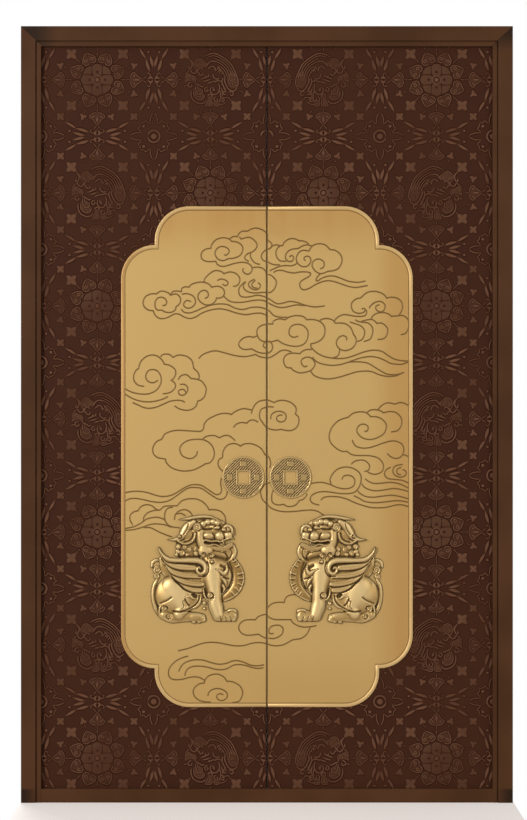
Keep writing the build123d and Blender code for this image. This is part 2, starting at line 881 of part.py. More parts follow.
def bolt_heights():
    """The heights of the three dead bolts."""
    return [turn_height + step * bolt_spacing for step in (-1, 0, 1)]


def build_lock():
    """Mortice case, faceplate, latch, three dead bolts on one slide, hub, lever and thumb-turn."""
    half_case = case_thickness / 2
    bolt_back = lock_face + bolt_length
    tie_back = bolt_back + tie_thickness
    tie_half_height = bolt_spacing + bolt_radius
    latch_back = lock_face + latch_length
    nose = seam_half + bolt_nose_setback
    cavity_front = bolt_back - bolt_throw - slide_play
    with BuildPart() as case:
        slab(
            (-lock_face - case_depth, middle_y - half_case, turn_height - case_below),
            (-lock_face, middle_y + half_case, lock_height + case_above),
        )
        for height in bolt_heights():
            rod_x(-bolt_back, bolt_length, middle_y, height, bolt_radius + slide_play, Mode.SUBTRACT)
        slab(
            (
                -tie_back - slide_play,
                middle_y - tie_half_width - slide_play,
                turn_height - tie_half_height - slide_play,
            ),
            (
                -cavity_front,
                middle_y + tie_half_width + slide_play,
                turn_height + tie_half_height + slide_play,
            ),
            mode=Mode.SUBTRACT,
        )
        slab(
            (
                -latch_back - slide_play,
                middle_y - latch_width / 2 - slide_play,
                lock_height - latch_height / 2 - slide_play,
            ),
            (
                -lock_face,
                middle_y + latch_width / 2 + slide_play,
                lock_height + latch_height / 2 + slide_play,
            ),
            mode=Mode.SUBTRACT,
        )
        rod_y(
            -lever_x,
            middle_y - half_case,
            middle_y + half_case,
            lock_height,
            hub_radius + hub_play,
            Mode.SUBTRACT,
        )
        rod_y(
            -lever_x,
            middle_y,
            middle_y + half_case,
            turn_height,
            turn_spindle_radius + hub_play,
            Mode.SUBTRACT,
        )
    save("lock_case", case.part)

    half_plate = plate_width / 2
    with BuildPart() as faceplate:
        slab(
            (-lock_face, middle_y - half_plate, plate_bottom),
            (-seam_half, middle_y + half_plate, plate_top),
        )
        for height in bolt_heights():
            rod_x(-lock_face, plate_thickness, middle_y, height, bolt_radius + slide_play, Mode.SUBTRACT)
        slab(
            (
                -lock_face,
                middle_y - latch_width / 2 - slide_play,
                lock_height - latch_height / 2 - slide_play,
            ),
            (
                -seam_half,
                middle_y + latch_width / 2 + slide_play,
                lock_height + latch_height / 2 + slide_play,
            ),
            mode=Mode.SUBTRACT,
        )
    save("lock_faceplate", faceplate.part)
    save("strike_plate", mirrored(faceplate.part))

    with BuildPart() as dead_bolts:
        for height in bolt_heights():
            rod_x(-bolt_back, bolt_back - nose, middle_y, height, bolt_radius)
        slab(
            (-tie_back, middle_y - tie_half_width, turn_height - tie_half_height),
            (-bolt_back, middle_y + tie_half_width, turn_height + tie_half_height),
        )
    save("dead_bolts", dead_bolts.part)

    with BuildPart() as latch:
        slab(
            (-latch_back, middle_y - latch_width / 2, lock_height - latch_height / 2),
            (-nose, middle_y + latch_width / 2, lock_height + latch_height / 2),
        )
        street_edge = latch.edges().filter_by(Axis.Z).group_by(Axis.X)[-1].sort_by(Axis.Y)[0]
        chamfer(street_edge, latch_bevel)
    save("latch_bolt", latch.part)

    half_side = spindle_side / 2
    hub_front = middle_y - half_case + slide_play
    hub_back = middle_y + half_case - slide_play
    with BuildPart() as hub:
        rod_y(-lever_x, hub_front, hub_back, lock_height, hub_radius)
        slab(
            (-lever_x - half_side - spindle_play, hub_front, lock_height - half_side - spindle_play),
            (-lever_x + half_side + spindle_play, hub_back, lock_height + half_side + spindle_play),
            mode=Mode.SUBTRACT,
        )
    save("lock_hub", hub.part)

    with BuildPart() as spindle:
        slab(
            (-lever_x - half_side, hub_front, lock_height - half_side),
            (-lever_x + half_side, back_y + spindle_reach, lock_height + half_side),
        )
    save("lever_spindle", spindle.part)

    # The lever's neck stands out of the backplate and turns to lie along the leaf
    neck_start = back_y + soft_clearance
    grip_y = back_y + lever_standoff
    with BuildPart() as lever:
        with BuildLine():
            FilletPolyline(
                (-lever_x, neck_start, lock_height),
                (-lever_x, grip_y, lock_height),
                (-lever_x - lever_reach, grip_y, lock_height),
                radius=lever_bend,
            )
        with BuildSketch(Plane(origin=(-lever_x, neck_start, lock_height), z_dir=(0, 1, 0))):
            Circle(lever_radius)
        sweep()
        slab(
            (-lever_x - half_side - spindle_play, neck_start, lock_height - half_side - spindle_play),
            (
                -lever_x + half_side + spindle_play,
                back_y + spindle_reach + slide_play,
                lock_height + half_side + spindle_play,
            ),
            mode=Mode.SUBTRACT,
        )
        tip = lever.faces().sort_by(Axis.X)[0]
        fillet(tip.edges(), lever_radius / 3)
    save("inside_lever", lever.part)

    with BuildPart() as backplate:
        with BuildSketch(back_plane(back_y)) as outline:
            middle = (lock_height + turn_height) / 2
            with Locations((lever_x, middle)):
                RectangleRounded(
                    backplate_width,
                    lock_centres + 2 * backplate_margin,
                    backplate_width / 2 - 0.1,
                )
            with Locations((lever_x, lock_height)):
                Circle(lever_radius + hub_play, mode=Mode.SUBTRACT)
            with Locations((lever_x, turn_height)):
                Circle(turn_neck_radius + hub_play, mode=Mode.SUBTRACT)
        extrude(amount=backplate_thickness)
    save("inside_backplate", backplate.part)

    with BuildPart() as thumb_turn:
        neck_end = back_y + backplate_thickness + turn_standoff
        spindle_start = middle_y + tie_half_width + 2 * slide_play
        rod_y(-lever_x, spindle_start, neck_start, turn_height, turn_spindle_radius)
        rod_y(-lever_x, neck_start, neck_end, turn_height, turn_neck_radius)
        with BuildSketch(back_plane(neck_end)):
            with Locations((lever_x, turn_height)):
                SlotOverall(turn_bow_width, turn_bow_height)
        extrude(amount=turn_bow_thickness)
    save("thumb_turn", thumb_turn.part)


def build_flush_bolts():
    """Slide bolts at the top and bottom of the right leaf, each in a case with an edge plate."""
    for name, end, inward in (("top", leaf_top, -1), ("bottom", leaf_bottom, 1)):

        def span(near, far):
            """Two heights measured into the leaf from its end, lowest first."""
            return sorted((end + inward * near, end + inward * far))

        plate_span = span(0, flush_case_length + plate_overhang)
        case_span = span(plate_overhang / 2, flush_case_length)
        thumb = flush_thumb_from_end
        half_thumb = flush_thumb_height / 2
        slot_span = span(
            thumb - half_thumb - flush_throw - slide_play, thumb + half_thumb + slide_play
        )
        with BuildPart() as case:
            slab(
                (seam_half, middle_y - flush_plate_width / 2, plate_span[0]),
                (lock_face, middle_y + flush_plate_width / 2, plate_span[1]),
            )
            slab(
                (lock_face, middle_y - flush_case_thickness / 2, case_span[0]),
                (lock_face + flush_case_depth, middle_y + flush_case_thickness / 2, case_span[1]),
            )
            rod_z(flush_x, middle_y, *case_span, flush_radius + flush_play, Mode.SUBTRACT)
            slab(
                (seam_half, middle_y - flush_thumb_width / 2 - slide_play, slot_span[0]),
                (flush_x, middle_y + flush_thumb_width / 2 + slide_play, slot_span[1]),
                mode=Mode.SUBTRACT,
            )
        save(f"{name}_bolt_case", case.part)

        thumb_span = span(thumb - half_thumb, thumb + half_thumb)
        with BuildPart() as bolt:
            rod_z(flush_x, middle_y, *span(flush_setback, thumb + flush_tail), flush_radius)
            slab(
                (seam_half + bolt_nose_setback, middle_y - flush_thumb_width / 2, thumb_span[0]),
                (flush_x, middle_y + flush_thumb_width / 2, thumb_span[1]),
            )
        save(f"{name}_flush_bolt", bolt.part)


build_frame()
build_keepers()
build_hinges()
build_field()
build_cartouche()
build_coin()
build_beast()
build_leaf_frame()
build_lock()
build_flush_bolts()
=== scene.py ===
import bpy
import numpy as np
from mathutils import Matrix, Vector
from mathutils.geometry import delaunay_2d_cdt


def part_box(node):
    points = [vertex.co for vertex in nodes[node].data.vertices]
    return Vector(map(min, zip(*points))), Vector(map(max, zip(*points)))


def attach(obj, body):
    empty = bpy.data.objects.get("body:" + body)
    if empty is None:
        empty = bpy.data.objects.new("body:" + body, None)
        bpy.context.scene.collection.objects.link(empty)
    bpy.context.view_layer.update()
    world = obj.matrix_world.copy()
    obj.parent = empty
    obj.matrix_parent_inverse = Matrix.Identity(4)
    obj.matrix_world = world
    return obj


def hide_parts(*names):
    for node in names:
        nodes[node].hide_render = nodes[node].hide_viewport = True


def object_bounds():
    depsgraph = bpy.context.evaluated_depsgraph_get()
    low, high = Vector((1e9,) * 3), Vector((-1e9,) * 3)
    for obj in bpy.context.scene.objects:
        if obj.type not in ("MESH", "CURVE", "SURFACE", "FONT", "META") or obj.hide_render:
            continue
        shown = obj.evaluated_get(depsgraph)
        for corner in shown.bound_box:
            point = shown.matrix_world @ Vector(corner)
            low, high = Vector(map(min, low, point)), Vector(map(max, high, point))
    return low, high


# A pair of cast aluminium door leaves in their frame. Lengths in this script are millimetres
# until a mesh is made. X runs across, Y from the street into the room and Z up.
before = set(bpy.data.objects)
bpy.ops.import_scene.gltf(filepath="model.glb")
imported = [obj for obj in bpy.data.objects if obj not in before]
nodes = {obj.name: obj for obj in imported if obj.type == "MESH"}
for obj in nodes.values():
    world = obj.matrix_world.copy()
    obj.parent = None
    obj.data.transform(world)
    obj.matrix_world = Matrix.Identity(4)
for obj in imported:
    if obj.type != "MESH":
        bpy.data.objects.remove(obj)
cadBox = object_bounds()
mm = 0.001
sides = {"left": -1, "right": 1}
frameSize = {"wide": cadBox[1][0], "high": cadBox[1][2]}


def cadEdges(node):
    # lowest and highest corner of a CAD node, in millimetres
    low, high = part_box(node)
    return np.array(low) / mm, np.array(high) / mm


# Colours and materials

def linear(hexColour):
    # sRGB hex to linear: c / 12.92 below 0.04045, else ((c + 0.055) / 1.055) to the power 2.4
    parts = [int(hexColour[i:i + 2], 16) / 255 for i in (1, 3, 5)]
    return [c / 12.92 if c <= 0.04045 else ((c + 0.055) / 1.055) ** 2.4 for c in parts] + [1]


def addNode(tree, kind, settings=None, links=None):
    # settings name properties or input sockets, links join an input socket to another node's output
    node = tree.nodes.new(kind)
    for key, value in (settings or {}).items():
        if isinstance(key, str) and hasattr(node, key):
            setattr(node, key, value)
        else:
            node.inputs[key].default_value = value
    for key, source in (links or {}).items():
        tree.links.new(source, node.inputs[key])
    return node


def newMaterial(name, metallic, roughness, gloss=0.5):
    material = bpy.data.materials.new(name)
    material.use_nodes = True
    tree = material.node_tree
    shader = tree.nodes["Principled BSDF"]
    for key, value in (("Metallic", metallic), ("Roughness", roughness), ("Specular IOR Level", gloss)):
        shader.inputs[key].default_value = value
    place = addNode(tree, "ShaderNodeTexCoord").outputs["Object"]
    return material, tree, shader, place


def mixColours(tree, share, first, second):
    # first and second are colours or outputs, share is a number or an output
    node = addNode(tree, "ShaderNodeMix", {"data_type": "RGBA"})
    for socket, value in ((0, share), (6, first), (7, second)):
        if isinstance(value, bpy.types.NodeSocket):
            tree.links.new(value, node.inputs[socket])
        else:
            node.inputs[socket].default_value = value
    return node.outputs[2]


def spread(tree, value, low, high, outLow=0.0, outHigh=1.0):
    # value between low and high becomes outLow to outHigh, with soft ends
    settings = {"interpolation_type": "SMOOTHSTEP", 1: low, 2: high, 3: outLow, 4: outHigh}
    return addNode(tree, "ShaderNodeMapRange", settings, {0: value}).outputs[0]


def maths(tree, operation, first, second=0.0):
    # one arithmetic node: first and second are numbers or outputs
    node = addNode(tree, "ShaderNodeMath", {"operation": operation})
    for socket, value in enumerate((first, second)):
        if isinstance(value, bpy.types.NodeSocket):
            tree.links.new(value, node.inputs[socket])
        else:
            node.inputs[socket].default_value = value
    return node.outputs[0]


def noise(tree, place, grainMm, detail, stretch=(1, 1, 1)):
    # noise whose grains are grainMm across, stretched by the three factors
    scaled = addNode(tree, "ShaderNodeMapping", {"Scale": [1 / s for s in stretch]}, {"Vector": place})
    return addNode(tree, "ShaderNodeTexNoise", {"Scale": 1000 / grainMm, "Detail": detail},
                   {"Vector": scaled.outputs[0]}).outputs["Fac"]


def bump(tree, shader, height, depthMm, strength):
    node = addNode(tree, "ShaderNodeBump", {"Strength": strength, "Distance": depthMm * mm}, {"Height": height})
    tree.links.new(node.outputs[0], shader.inputs["Normal"])


powderSettings = {
    "base": "#452812", "light": "#4f3019", "shade": "#2b1a0c", "line": "#1b1008", "grainMm": 1.1, "cloudMm": 260,
    "depthMm": 0.05, "roughness": 0.42, "gloss": 0.1, "jamb": 0.062, "head": 0.058, "lineMm": 0.8,
    # where the painted shade bands begin and reach full strength, in metres up or across
    "headFade": (-0.63, -0.725), "jambFade": (2.31, 2.385), "jambSide": (0.69, 0.70),
    "footFade": (0.045, 0.040), "footSide": (0.70, 0.755),
}


def powderCoat():
    # Satin powder coat on extruded aluminium: fine orange peel and mitre joints, with painted shade in darker bands
    # where a bar catches no light near its mitre and at the jambs' feet
    s = powderSettings
    material, tree, shader, place = newMaterial("brownPowderCoat", 0.0, s["roughness"], s["gloss"])
    cloud = noise(tree, place, s["cloudMm"], 3)
    colour = mixColours(tree, spread(tree, cloud, 0.35, 0.65), linear(s["base"]), linear(s["light"]))
    axes = addNode(tree, "ShaderNodeSeparateXYZ", links={0: place}).outputs
    wide = maths(tree, "ABSOLUTE", axes[0])
    fromSide = maths(tree, "DIVIDE", maths(tree, "SUBTRACT", frameSize["wide"], wide), s["jamb"])
    fromTop = maths(tree, "DIVIDE", maths(tree, "SUBTRACT", frameSize["high"], axes[2]), s["head"])
    apart = maths(tree, "SUBTRACT", fromSide, fromTop)
    onHead = spread(tree, apart, -0.005, 0.005)
    # painted shade: the head darker at its left end, the right jamb at its top, both jambs at their feet
    headShade = maths(tree, "MULTIPLY", onHead, spread(tree, axes[0], *s["headFade"]))
    onJamb = maths(tree, "SUBTRACT", 1.0, onHead)
    jambShade = maths(tree, "MULTIPLY", onJamb, spread(tree, axes[2], *s["jambFade"]))
    jambShade = maths(tree, "MULTIPLY", jambShade, spread(tree, axes[0], *s["jambSide"]))
    footShade = maths(tree, "MULTIPLY", spread(tree, axes[2], *s["footFade"]), spread(tree, wide, *s["footSide"]))
    shade = maths(tree, "MAXIMUM", maths(tree, "MAXIMUM", headShade, jambShade), footShade)
    colour = mixColours(tree, shade, colour, linear(s["shade"]))
    near = spread(tree, maths(tree, "ABSOLUTE", apart), s["lineMm"] * mm / s["jamb"], 0.0)
    inCorner = maths(tree, "MULTIPLY", spread(tree, fromSide, 1.02, 1.0), spread(tree, fromTop, 1.02, 1.0))
    colour = mixColours(tree, maths(tree, "MULTIPLY", near, inCorner), colour, linear(s["line"]))
    tree.links.new(colour, shader.inputs["Base Color"])
    bump(tree, shader, noise(tree, place, s["grainMm"], 2), s["depthMm"], 0.6)
    return material


castSettings = {"tones": ((0.0, "#2b1005"), (0.35, "#3b1d0e"), (0.72, "#513321"), (1.0, "#66432f")),
                "warm": "#41210f", "grainMm": 1.6, "patchMm": 180, "depthMm": 0.1, "roughness": 0.5, "gloss": 0.08}


def castPaint():
    # Matt red-brown paint on the cast relief, slightly grainy: painted shade dark at the foot of a ridge and a
    # painted highlight lighter on the crests
    s = castSettings
    material, tree, shader, place = newMaterial("castBrocadePaint", 0.0, s["roughness"], s["gloss"])
    # tone carries painted shade at a ridge's foot and a painted highlight on its crest
    tone = addNode(tree, "ShaderNodeAttribute", {"attribute_name": "tone"}).outputs["Fac"]
    ramp = addNode(tree, "ShaderNodeValToRGB", links={0: tone})
    stops = ramp.color_ramp.elements
    while len(stops) < len(s["tones"]):
        stops.new(0.5)
    for stop, (at, hexColour) in zip(stops, s["tones"]):
        stop.position, stop.color = at, linear(hexColour)
    patch = spread(tree, noise(tree, place, s["patchMm"], 2), 0.4, 0.6, 0.0, 0.5)
    colour = mixColours(tree, patch, ramp.outputs[0], linear(s["warm"]))
    tree.links.new(colour, shader.inputs["Base Color"])
    bump(tree, shader, noise(tree, place, s["grainMm"], 3), s["depthMm"], 0.5)
    return material


goldSettings = {
    # the rim's colours: a painted highlight on the raised rim, and painted shade on its left side
    "base": "#bf9b5b", "shade": "#b28645", "rim": "#c6a268", "rimShadeLeft": "#b1864a", "line": "#74541f",
    "grainMm": 0.9, "streakMm": 60, "depthMm": 0.03, "roughness": 0.42, "metallic": 0.35,
    # where the darkening begins and reaches full strength, in metres up or across; the bottom one stays weaker
    "topFade": (1.66, 1.83), "bottomFade": (0.50, 0.34, 0.0, 0.35), "rightFade": (0.30, 0.43),
    # where the rim's painted shade on the left gives way to its painted highlight, in metres across
    "rimFade": (-0.44, -0.36),
}


def goldPaint():
    # Champagne gold lacquer over aluminium: fine flake, darker towards the top, the right and the bottom
    s = goldSettings
    material, tree, shader, place = newMaterial("champagneGoldLacquer", s["metallic"], s["roughness"])
    axes = addNode(tree, "ShaderNodeSeparateXYZ", links={0: place}).outputs
    top, bottom = (spread(tree, axes[2], *s[fade]) for fade in ("topFade", "bottomFade"))
    dark = maths(tree, "MAXIMUM", maths(tree, "MAXIMUM", top, bottom), spread(tree, axes[0], *s["rightFade"]))
    streak = noise(tree, place, s["streakMm"], 2, (1, 1, 30))
    dark = maths(tree, "MULTIPLY", dark, spread(tree, streak, 0.3, 0.7, 0.75, 1.0))
    colour = mixColours(tree, dark, linear(s["base"]), linear(s["shade"]))
    # the raised rim: painted highlight, with painted shade on its left side
    rim = addNode(tree, "ShaderNodeAttribute", {"attribute_name": "rim"}).outputs["Fac"]
    rimTone = mixColours(tree, spread(tree, axes[0], *s["rimFade"]), linear(s["rimShadeLeft"]), linear(s["rim"]))
    colour = mixColours(tree, rim, colour, rimTone)
    # sunk darkens to the line colour: painted shade in the grooves and at the seam
    sunk = addNode(tree, "ShaderNodeAttribute", {"attribute_name": "sunk"}).outputs["Fac"]
    colour = mixColours(tree, sunk, colour, linear(s["line"]))
    tree.links.new(colour, shader.inputs["Base Color"])
    bump(tree, shader, noise(tree, place, s["grainMm"], 2), s["depthMm"], 0.5)
    return material


antiqueSettings = {"body": "#ab884d", "crest": "#e5c78c", "shade": "#8a672c", "patinaAndShade": "#35230d", "grainMm": 2.5,
                   "stainMm": 9, "depthMm": 0.12, "roughness": 0.36, "dullRoughness": 0.75, "metallic": 0.55}


def antiqueGold():
    # Antique gold on a casting: nearly black in the recesses, patina and painted shade; browner where it lies deep,
    # painted shade; bright on crests, a painted highlight
    s = antiqueSettings
    material, tree, shader, place = newMaterial("antiqueGoldCasting", s["metallic"], s["roughness"])
    crest, hollow, shade = (addNode(tree, "ShaderNodeAttribute", {"attribute_name": n}).outputs["Fac"]
                            for n in ("crest", "hollow", "shade"))
    # painted shade where the shade attribute is high, then a painted highlight on crests
    colour = mixColours(tree, shade, linear(s["body"]), linear(s["shade"]))
    colour = mixColours(tree, crest, colour, linear(s["crest"]))
    stain = spread(tree, noise(tree, place, s["stainMm"], 3), 0.3, 0.7, 0.85, 1.0)
    # patina with painted shade in the recesses
    colour = mixColours(tree, maths(tree, "MULTIPLY", hollow, stain), colour, linear(s["patinaAndShade"]))
    tree.links.new(colour, shader.inputs["Base Color"])
    dull = spread(tree, hollow, 0.0, 1.0, s["roughness"], s["dullRoughness"])
    tree.links.new(dull, shader.inputs["Roughness"])
    bump(tree, shader, noise(tree, place, s["grainMm"], 3), s["depthMm"], 0.4)
    return material


# Plainer finishes: colour, metallic, roughness, grain size in mm with its stretch, grain depth in mm, gloss
plainFinishes = {
    "sealRubber": ("#33251a", 0.0, 0.7, 0.8, (1, 1, 1), 0.05, 0.3),
    "bronzeHingeSteel": ("#7a6c58", 1.0, 0.34, 0.5, (1, 1, 40), 0.02, 0.5),
    "brushedLockSteel": ("#b9b6b0", 1.0, 0.3, 0.4, (1, 1, 60), 0.02, 0.5),
    "antiqueBronzeLever": ("#8c6b3d", 1.0, 0.33, 0.6, (25, 1, 1), 0.02, 0.5),
    "millAluminium": ("#c4c5c7", 1.0, 0.38, 0.6, (1, 1, 50), 0.03, 0.5),
    "satinPowderSkin": ("#54331d", 0.0, 0.55, 1.4, (1, 1, 1), 0.04, 0.15),
    "rigidFoam": ("#d9c68b", 0.0, 0.85, 1.5, (1, 1, 1), 0.3, 0.5),
}
# how much darker the grain's low places are, and how the roughness varies over worn patches
plainWear = {"dark": 0.8, "patchMm": 35, "smoother": 0.85, "rougher": 1.2}


def plainFinish(name):
    hexColour, metallic, roughness, grainMm, stretch, depthMm, gloss = plainFinishes[name]
    material, tree, shader, place = newMaterial(name, metallic, roughness, gloss)
    grain = noise(tree, place, grainMm, 3, stretch)
    dark = [c * plainWear["dark"] for c in linear(hexColour)[:3]] + [1]
    tree.links.new(mixColours(tree, grain, dark, linear(hexColour)), shader.inputs["Base Color"])
    worn = noise(tree, place, plainWear["patchMm"], 2)
    low, high = roughness * plainWear["smoother"], roughness * plainWear["rougher"]
    tree.links.new(spread(tree, worn, 0.3, 0.7, low, high), shader.inputs["Roughness"])
    bump(tree, shader, grain, depthMm, 0.5)
    return material


lipSettings = {"dark": "#33190b", "gold": "#dfb76f", "grainMm": 0.8, "depthMm": 0.03, "roughness": 0.65,
               "gloss": 0.1, "softMm": 2}


def lipRubber():
    # Soft rubber lips, brown as the field, and a lighter gold than the plates where they pass them: painted light
    # that makes the shaded seam read as lit gold
    s = lipSettings
    material, tree, shader, place = newMaterial("meetingLipRubber", 0.0, s["roughness"], s["gloss"])
    height = addNode(tree, "ShaderNodeSeparateXYZ", links={0: place}).outputs[2]
    low, high = (corner[2] * mm for corner in cadEdges("right_cartouche"))
    soft = s["softMm"] * mm
    between = maths(tree, "MULTIPLY", spread(tree, height, low, low + soft), spread(tree, height, high, high - soft))
    grain = noise(tree, place, s["grainMm"], 2)
    # painted light: a lighter gold between the gold plates' bottom and top
    colour = mixColours(tree, between, linear(s["dark"]), linear(s["gold"]))
    shadow = mixColours(tree, spread(tree, grain, 0.2, 0.8, 0.1, 0.0), colour, (0, 0, 0, 1))
    tree.links.new(shadow, shader.inputs["Base Color"])
    bump(tree, shader, grain, s["depthMm"], 0.5)
    return material


finishes = {name: plainFinish(name) for name in plainFinishes}
finishes["lips"] = lipRubber()
finishes["powder"] = powderCoat()
finishes["cast"] = castPaint()
finishes["gold"] = goldPaint()
finishes["antique"] = antiqueGold()

# Which CAD nodes take which finish, by words in their names; the first match counts
nodeFinishes = (
    (("foam", "core"), "rigidFoam"),
    (("meeting_seal",), "lips"),
    (("seal",), "sealRubber"),
    (("hinge_stile", "meeting_stile"), "powder"),
    (("rail", "cleat"), "millAluminium"),
    (("hinge",), "bronzeHingeSteel"),
    (("spindle",), "brushedLockSteel"),
    (("lever", "backplate", "thumb"), "antiqueBronzeLever"),
    (("bolt", "lock", "strike", "keeper"), "brushedLockSteel"),
    (("cartouche",), "gold"),
    (("beast", "coin"), "antique"),
    (("back_skin",), "satinPowderSkin"),
    (("field_panel",), "cast"),
    (("jamb", "threshold"), "powder"),
)
for name, node in nodes.items():
    finish = next(f for words, f in nodeFinishes if any(word in name for word in words))
    node.data.materials.clear()
    node.data.materials.append(finishes[finish])
print("materials:", len(bpy.data.materials))


# Mesh helpers

# order of a face's corners that turns it over and keeps the first
turnedOver = [0, 3, 2, 1]


def ringFaces(grid):
    # faces between the rows of a grid of point numbers, where each row closes on itself
    follow = np.roll(grid, -1, axis=-1)
    corners = [grid[..., :-1, :], grid[..., 1:, :], follow[..., 1:, :], follow[..., :-1, :]]
    return np.stack(corners, -1).reshape(-1, 4)


def openEdges(faces, count):
    # the edges that only one face has, each in the direction that face has it, count being the number of points
    corners = faces.shape[1]
    edges = np.concatenate([faces[:, [k, (k + 1) % corners]] for k in range(corners)]).astype(np.int64)
    return edges[~np.isin(edges[:, 0] * count + edges[:, 1], edges[:, 1] * count + edges[:, 0])]


def makePiece(name, points, faces, material, body, replaced=(), smooth=None, attributes=None):
    # points is (n, 3) in mm, faces a list of (m, k) arrays of point numbers
    mesh = bpy.data.meshes.new(name)
    mesh.vertices.add(len(points))
    mesh.vertices.foreach_set("co", (np.asarray(points) * mm).ravel())
    sizes = np.concatenate([np.full(len(f), f.shape[1]) for f in faces])
    corners = np.concatenate([f.ravel() for f in faces])
    mesh.loops.add(len(corners))
    mesh.loops.foreach_set("vertex_index", corners.astype(np.int32))
    mesh.polygons.add(len(sizes))
    mesh.polygons.foreach_set("loop_start", (np.cumsum(sizes) - sizes).astype(np.int32))
    smoothing = np.ones(len(sizes), bool) if smooth is None else smooth
    mesh.polygons.foreach_set("use_smooth", smoothing)
    mesh.update(calc_edges=True)
    for key, values in (attributes or {}).items():
        mesh.attributes.new(key, "FLOAT", "POINT").data.foreach_set("value", values.astype(np.float32))
    mesh.materials.append(material)
    piece = bpy.data.objects.new(name, mesh)
    bpy.context.scene.collection.objects.link(piece)
    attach(piece, body)
    if replaced:
        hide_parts(*replaced)
    print("piece", name, "triangles", int((sizes - 2).sum()))
    return piece


def spline(control, spacing):
    # Catmull-Rom curve through complex control points, sampled at even parameter steps of about spacing mm
    p = np.asarray(control, complex)
    ends = np.concatenate([[2 * p[0] - p[1]], p, [2 * p[-1] - p[-2]]])
    a, b, c, d = ends[:-3], ends[1:-2], ends[2:-1], ends[3:]
    count = np.maximum(1, np.ceil(np.abs(c - b) / spacing)).astype(int)
    piece = np.repeat(np.arange(len(b)), count)
    t = np.concatenate([np.arange(n) / n for n in count])
    a, b, c, d = a[piece], b[piece], c[piece], d[piece]
    curve = 0.5 * (2 * b + (c - a) * t + (2 * a - 5 * b + 4 * c - d) * t ** 2 + (3 * b - a - 3 * c + d) * t ** 3)
    return np.append(curve, p[-1])


def trace(text):
    # "x z, x z, ..." in mm to complex points
    return np.array([complex(*map(float, pair.split())) for pair in text.split(",")])


def strokesFrom(text):
    # a bar in the text is a cusp, where the next run starts at the last point
    runs = [trace(run) for run in text.split("|")]
    return runs[:1] + [np.append(before[-1], after) for before, after in zip(runs, runs[1:])]


def nearest(points, start, end):
    # distance from each point to the nearest of the segments start to end, all complex
    best = np.full(len(points), 1e9)
    along = end - start
    size = np.maximum(np.abs(along) ** 2, 1e-12)
    for low in range(0, len(points), 2000):
        q = points[low:low + 2000, None] - start[None]
        t = np.clip((q * along.conj()).real / size, 0, 1)
        best[low:low + 2000] = np.abs(q - t * along).min(axis=1)
    return best


# Gold plates: the cartouche in two halves, with a raised rim and clouds cut into it

plateLow, plateHigh = cadEdges("right_cartouche")
plate = {
    "seam": plateLow[0], "edge": plateHigh[0], "bottom": plateLow[2], "top": plateHigh[2],
    "back": plateHigh[1], "rimHeight": 1.5, "lobe": 108.0, "upright": 12.0, "notch": 347.5,
    "arcSteps": 28, "grooveHalf": 2.0, "grooveDepth": 1.4, "grooveSpacing": 3.8, "grooveShadeHalf": 3.4,
    "grooveInner": 0.45, "grooveShadePeak": 1.35, "seamRound": 1.3, "seamEnd": 5, "seamDrop": 0.7, "seamShade": 0.35,
    "level": 0.03,
    # the cut line inside the rim: the insets between which it is darkened with painted shade, and how strongly
    "cutBand": (11.6, 14.05), "cutShade": 0.85, "rimEnd": 11.4, "rimFade": 0.4,
    # inset from the outline and height above the gold field, across the rim and the cut line inside it
    "rimInsets": (0.0, 0.5, 1.5, 9.6, 11.5, 12.3, 13.3, 14.1),
    "rimHeights": (0.6, 1.2, 1.5, 1.5, 0.2, -1.1, -1.1, 0.0),
}
plate["face"] = plateLow[1] + plate["rimHeight"]
plate["middle"] = (plate["top"] + plate["bottom"]) / 2
plate["shoulder"] = plate["top"] - plate["lobe"] - plate["upright"]
plate["sideLobe"] = plate["edge"] - plate["notch"]


def outlineInset(x, z):
    # how far a point lies inside the cartouche: the larger inset of a tall and a wide rounded box
    up = np.abs(z - plate["middle"]) + plate["middle"]
    x = np.abs(x)
    tall = np.minimum(plate["notch"] - x, plate["top"] - up)
    arcX, arcZ = plate["notch"] - plate["lobe"], plate["top"] - plate["lobe"]
    tall = np.where((x > arcX) & (up > arcZ), plate["lobe"] - np.hypot(x - arcX, up - arcZ), tall)
    wide = np.minimum(plate["edge"] - x, plate["shoulder"] - up)
    sideZ = plate["shoulder"] - plate["sideLobe"]
    lobe = plate["sideLobe"] - np.hypot(x - plate["notch"], up - sideZ)
    wide = np.where((x > plate["notch"]) & (up > sideZ), lobe, wide)
    return np.maximum(tall, wide)


def outlineAt(inset):
    # the right half's outline from the seam at the top to the seam at the bottom, moved in by inset
    turn = np.linspace(np.pi / 2, 0, plate["arcSteps"])
    centre = complex(plate["notch"] - plate["lobe"], plate["top"] - plate["lobe"])
    lobe = centre + (plate["lobe"] - inset) * np.exp(1j * turn)
    sideCentre = complex(plate["notch"], plate["shoulder"] - plate["sideLobe"])
    side = sideCentre + (plate["sideLobe"] - inset) * np.exp(1j * turn)
    start = [complex(plate["seam"], plate["top"] - inset)]
    inner = [complex(plate["notch"] - inset, plate["shoulder"] - inset)] if inset > 0 else []
    upper = np.concatenate([start, lobe, inner, side])
    lower = upper[::-1].conj() + 2j * plate["middle"]
    return np.concatenate([upper, lower])


